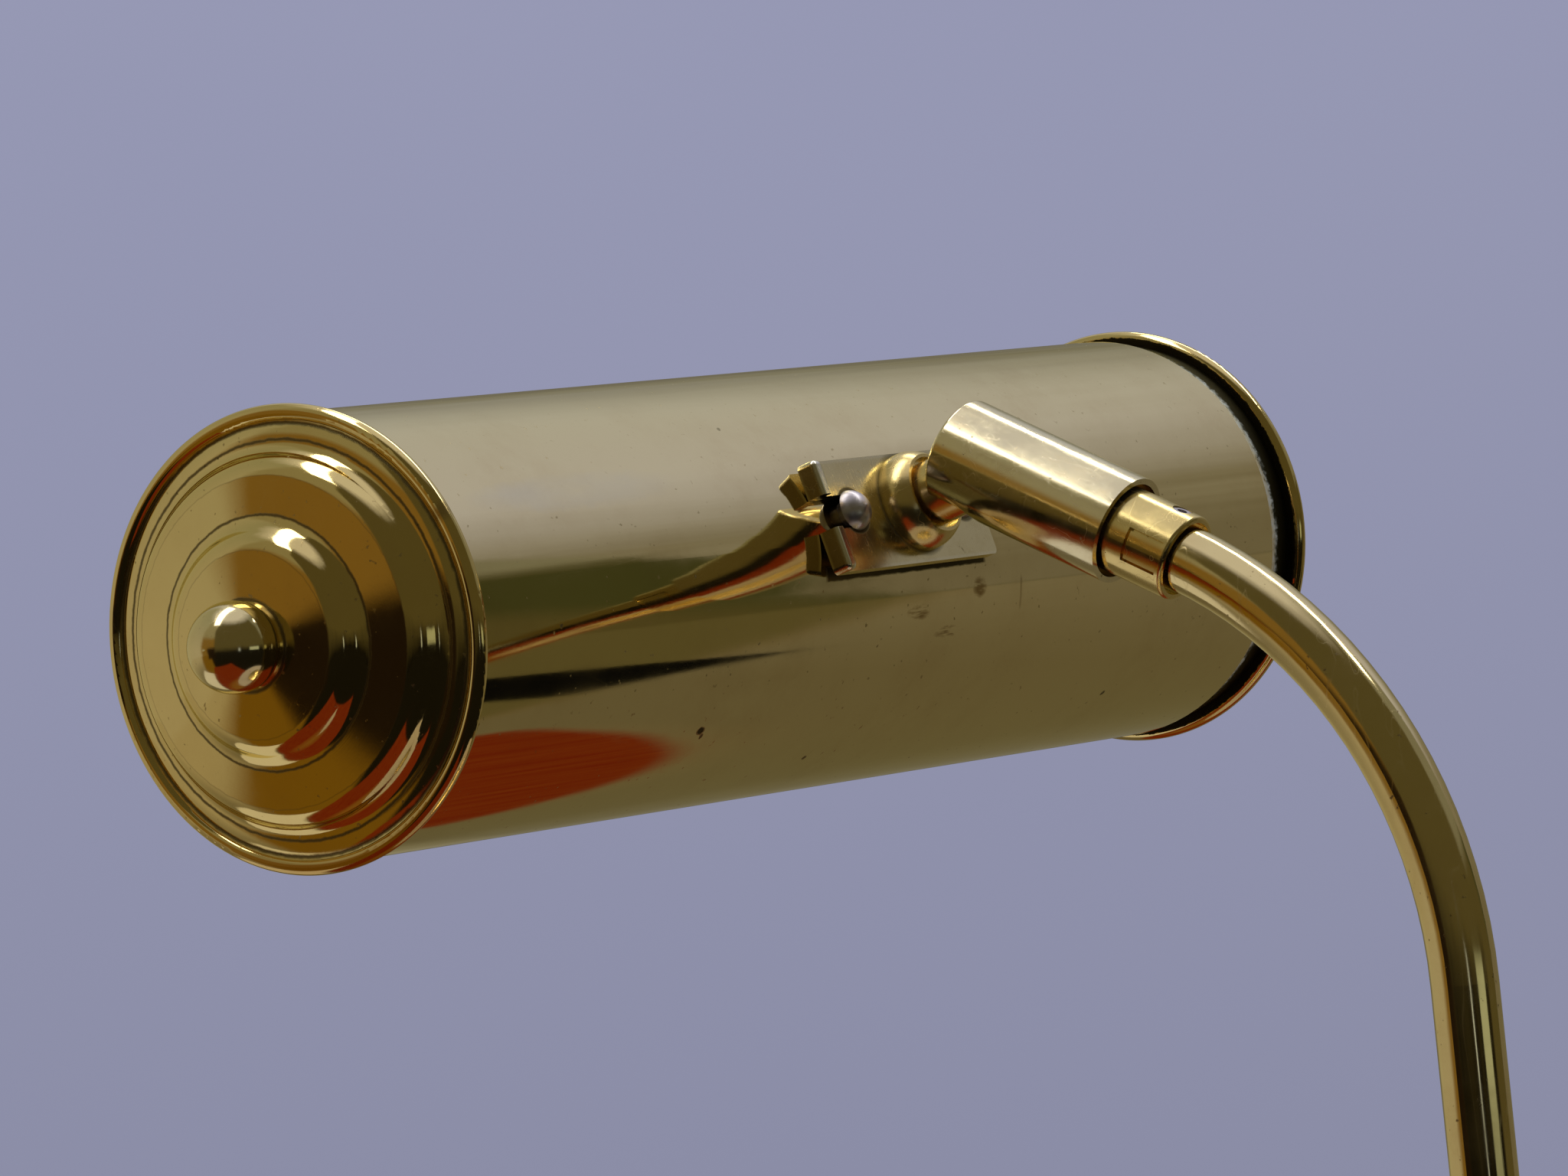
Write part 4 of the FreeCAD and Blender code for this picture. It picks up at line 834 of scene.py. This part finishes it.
TABLE_BY_WALL, TABLE_FAR = rgb(0.37, 0.33, 0.23), rgb(0.185, 0.165, 0.120)
TABLE_NEAR, TABLE_END = rgb(0.14, 0.12, 0.075), rgb(0.21, 0.165, 0.10)
TABLE_SIDE, TABLE_DARK = rgb(0.165, 0.090, 0.008), rgb(0.008, 0.007, 0.004)
TABLE_LEFT, UNDER_LAMP = rgb(0.105, 0.090, 0.038), rgb(0.19, 0.085, 0.015)
TRAY, PAPER = rgb(0.003, 0.003, 0.003), rgb(0.60, 0.58, 0.54)
RED_WOOD, RED_WOOD_PALE = rgb(0.13, 0.012, 0.003), rgb(0.17, 0.032, 0.006)
# degrees of rise at which one tone gives way to the next
BY_WALL_RISE, FAR_RISE, END_RISE, UNDER_LAMP_RISE = (-14, -34), (-9, -28), (-38, -52), -62
# degrees round the shade
FAR_FROM = 140
SIDE_AROUND, DARK_AROUND, LEFT_AROUND = (-46, 145), (-19, 145), (114, 146.8)
# metres from the lamp's axis, as low and high in X and in Y
TRAY_X = (-0.578, -0.40)
TRAY_NEAR, TRAY_FAR = (0.4775, -0.030), (0.562, 0.275)  # slope of an edge, and where in Y
BOARD_X, BOARD_Y = (-0.29, 0.45), (-0.28, 0.05)
PAPER_X, PAPER_Y = (0.0, 0.30), (-0.52, -0.29)
SHARP = 0.006                           # half width of an edge on the table, in metres


def table_tone(n, way, x, y):
    """The table top by direction, and what lies on it by place."""
    edge = n.times(way.drift, PLACE_DRIFT)
    x, y = n.plus(x, edge), n.plus(y, edge)
    by_wall = n.mix(n.ramp(way.high, *BY_WALL_RISE), TABLE_BY_WALL, TABLE_NEAR)
    far = n.mix(n.ramp(way.high, *FAR_RISE), TABLE_FAR, TABLE_NEAR)
    far = n.mix(n.ramp(way.high, *END_RISE), far, TABLE_END)
    tone = n.mix(n.step(n.away(way.around, 0.0), FAR_FROM, 2), by_wall, far)
    tone = n.mix(n.band(way.around, *SIDE_AROUND, 3), tone, TABLE_SIDE)
    tone = n.mix(n.band(way.around, *DARK_AROUND, 2), tone, TABLE_DARK)
    tone = n.mix(n.band(way.around, *LEFT_AROUND, 0.5), tone, TABLE_LEFT)
    tray = n.band(x, *TRAY_X, SHARP)
    for (slope, place), soft in ((TRAY_NEAR, SHARP), (TRAY_FAR, -SHARP)):
        tray = n.times(tray, n.step(n.plus(y, n.times(x, slope)), place, soft))
    tone = n.mix(tray, tone, TRAY)
    wood_grain = n.noise(n.object_xyz((1, 12, 1)), 14, 3, 0.6)
    red_wood = n.mix(n.spread(wood_grain), RED_WOOD, RED_WOOD_PALE)
    board = n.times(n.band(x, *BOARD_X, SHARP), n.band(y, *BOARD_Y, SHARP))
    tone = n.mix(board, tone, red_wood)
    paper = n.times(n.band(x, *PAPER_X, SHARP), n.band(y, *PAPER_Y, SHARP))
    tone = n.mix(paper, tone, PAPER)
    return n.mix(n.step(way.rise, UNDER_LAMP_RISE, -4), tone, UNDER_LAMP)


STAND = rgb(0.012, 0.007, 0.003)
VEIL, VEIL_HIGH = rgb(0.165, 0.150, 0.115), rgb(0.27, 0.26, 0.24)
STAND_AROUND, STAND_RISE = (-27, -8), (-15, 4)
VEIL_RISE, VEIL_RIGHT_FROM = (2, 24), -120
VEIL_LEFT_RISE, VEIL_LEFT_AROUND = (-4, -9.6), (144.5, 147.1)  # its slanting left edge
CLEAR_ABOVE, FRONT_CLEAR_ABOVE = (33, 15), (70, 55)     # rise, from clear to cloth
TABLE_ENDS_Z = 0.02                     # height in metres where the upright cloth begins


def screen_cloth():
    """The screen's tones, and how far it is clear so that the lavender wall shows."""
    material, n = new_material("dim_screen")
    place = n.object_place()
    x, y, z = n.split(place)
    way = way_from_shade(n, place)
    flat_part = n.step(z, TABLE_ENDS_Z, -0.01)
    tone = n.mix(flat_part, upright_tone(n, way), table_tone(n, way, x, y))
    stand = n.times(n.band(way.loose, *STAND_AROUND, 1.5), n.band(way.high, *STAND_RISE, 2.0))
    tone = n.mix(stand, tone, STAND)

    smudge = n.ramp(n.noise(way.offset, 4.5, 4, 0.6), 0.35, 0.65, -7.0, 7.0)
    veil = n.mix(n.ramp(n.plus(way.rise, smudge), *VEIL_RISE), VEIL, VEIL_HIGH)
    left_edge = n.ramp(way.rise, *VEIL_LEFT_RISE, *VEIL_LEFT_AROUND)
    left = n.math("GREATER_THAN", way.around, left_edge)
    open_side = n.most(left, n.step(way.loose, VEIL_RIGHT_FROM, -8))
    tone = n.mix(n.times(open_side, n.other(flat_part)), tone, veil)
    open_cover = n.most(n.ramp(way.high, *CLEAR_ABOVE), flat_part)
    front_cover = n.ramp(way.high, *FRONT_CLEAR_ABOVE)
    cover = n.plus(n.times(open_side, open_cover), n.times(n.other(open_side), front_cover))
    # the cloth glows with its tones and lights nothing but the reflections in metal
    glow = n.add("Emission", {"Color": tone, "Strength": 1.0}).outputs["Emission"]
    clear = n.add("BsdfTransparent").outputs["BSDF"]
    n.surface(n.add("MixShader", {0: cover, 1: clear, 2: glow}).outputs["Shader"])
    return material


# ---------------------------------------------------------------- floor
FLOOR_R, FLOOR_SIDES = 1.2, 96
FLOOR_TONE, FLOOR_CLOUD = rgb(0.36, 0.31, 0.24), rgb(0.40, 0.345, 0.27)


def make_floor():
    """Plain pale round floor with a faint mottle."""
    material, n = new_material("pale_floor")
    mottle = n.spread(n.noise(n.object_xyz(), 8, 3, 0.5))
    n.principled({"Base Color": n.mix(mottle, FLOOR_TONE, FLOOR_CLOUD), "Roughness": 0.7})
    bm = bmesh.new()
    bmesh.ops.create_circle(bm, cap_ends=True, segments=FLOOR_SIDES, radius=FLOOR_R)
    object_from(bm, "floor", material)


def main():
    bpy.context.scene.view_settings.view_transform = "Standard"
    make_camera()
    make_world()
    make_lamps()
    make_screen()
    make_floor()
    materials = make_materials()
    dress_nodes(materials)
    make_filament_coil(materials["tungsten"])


main()
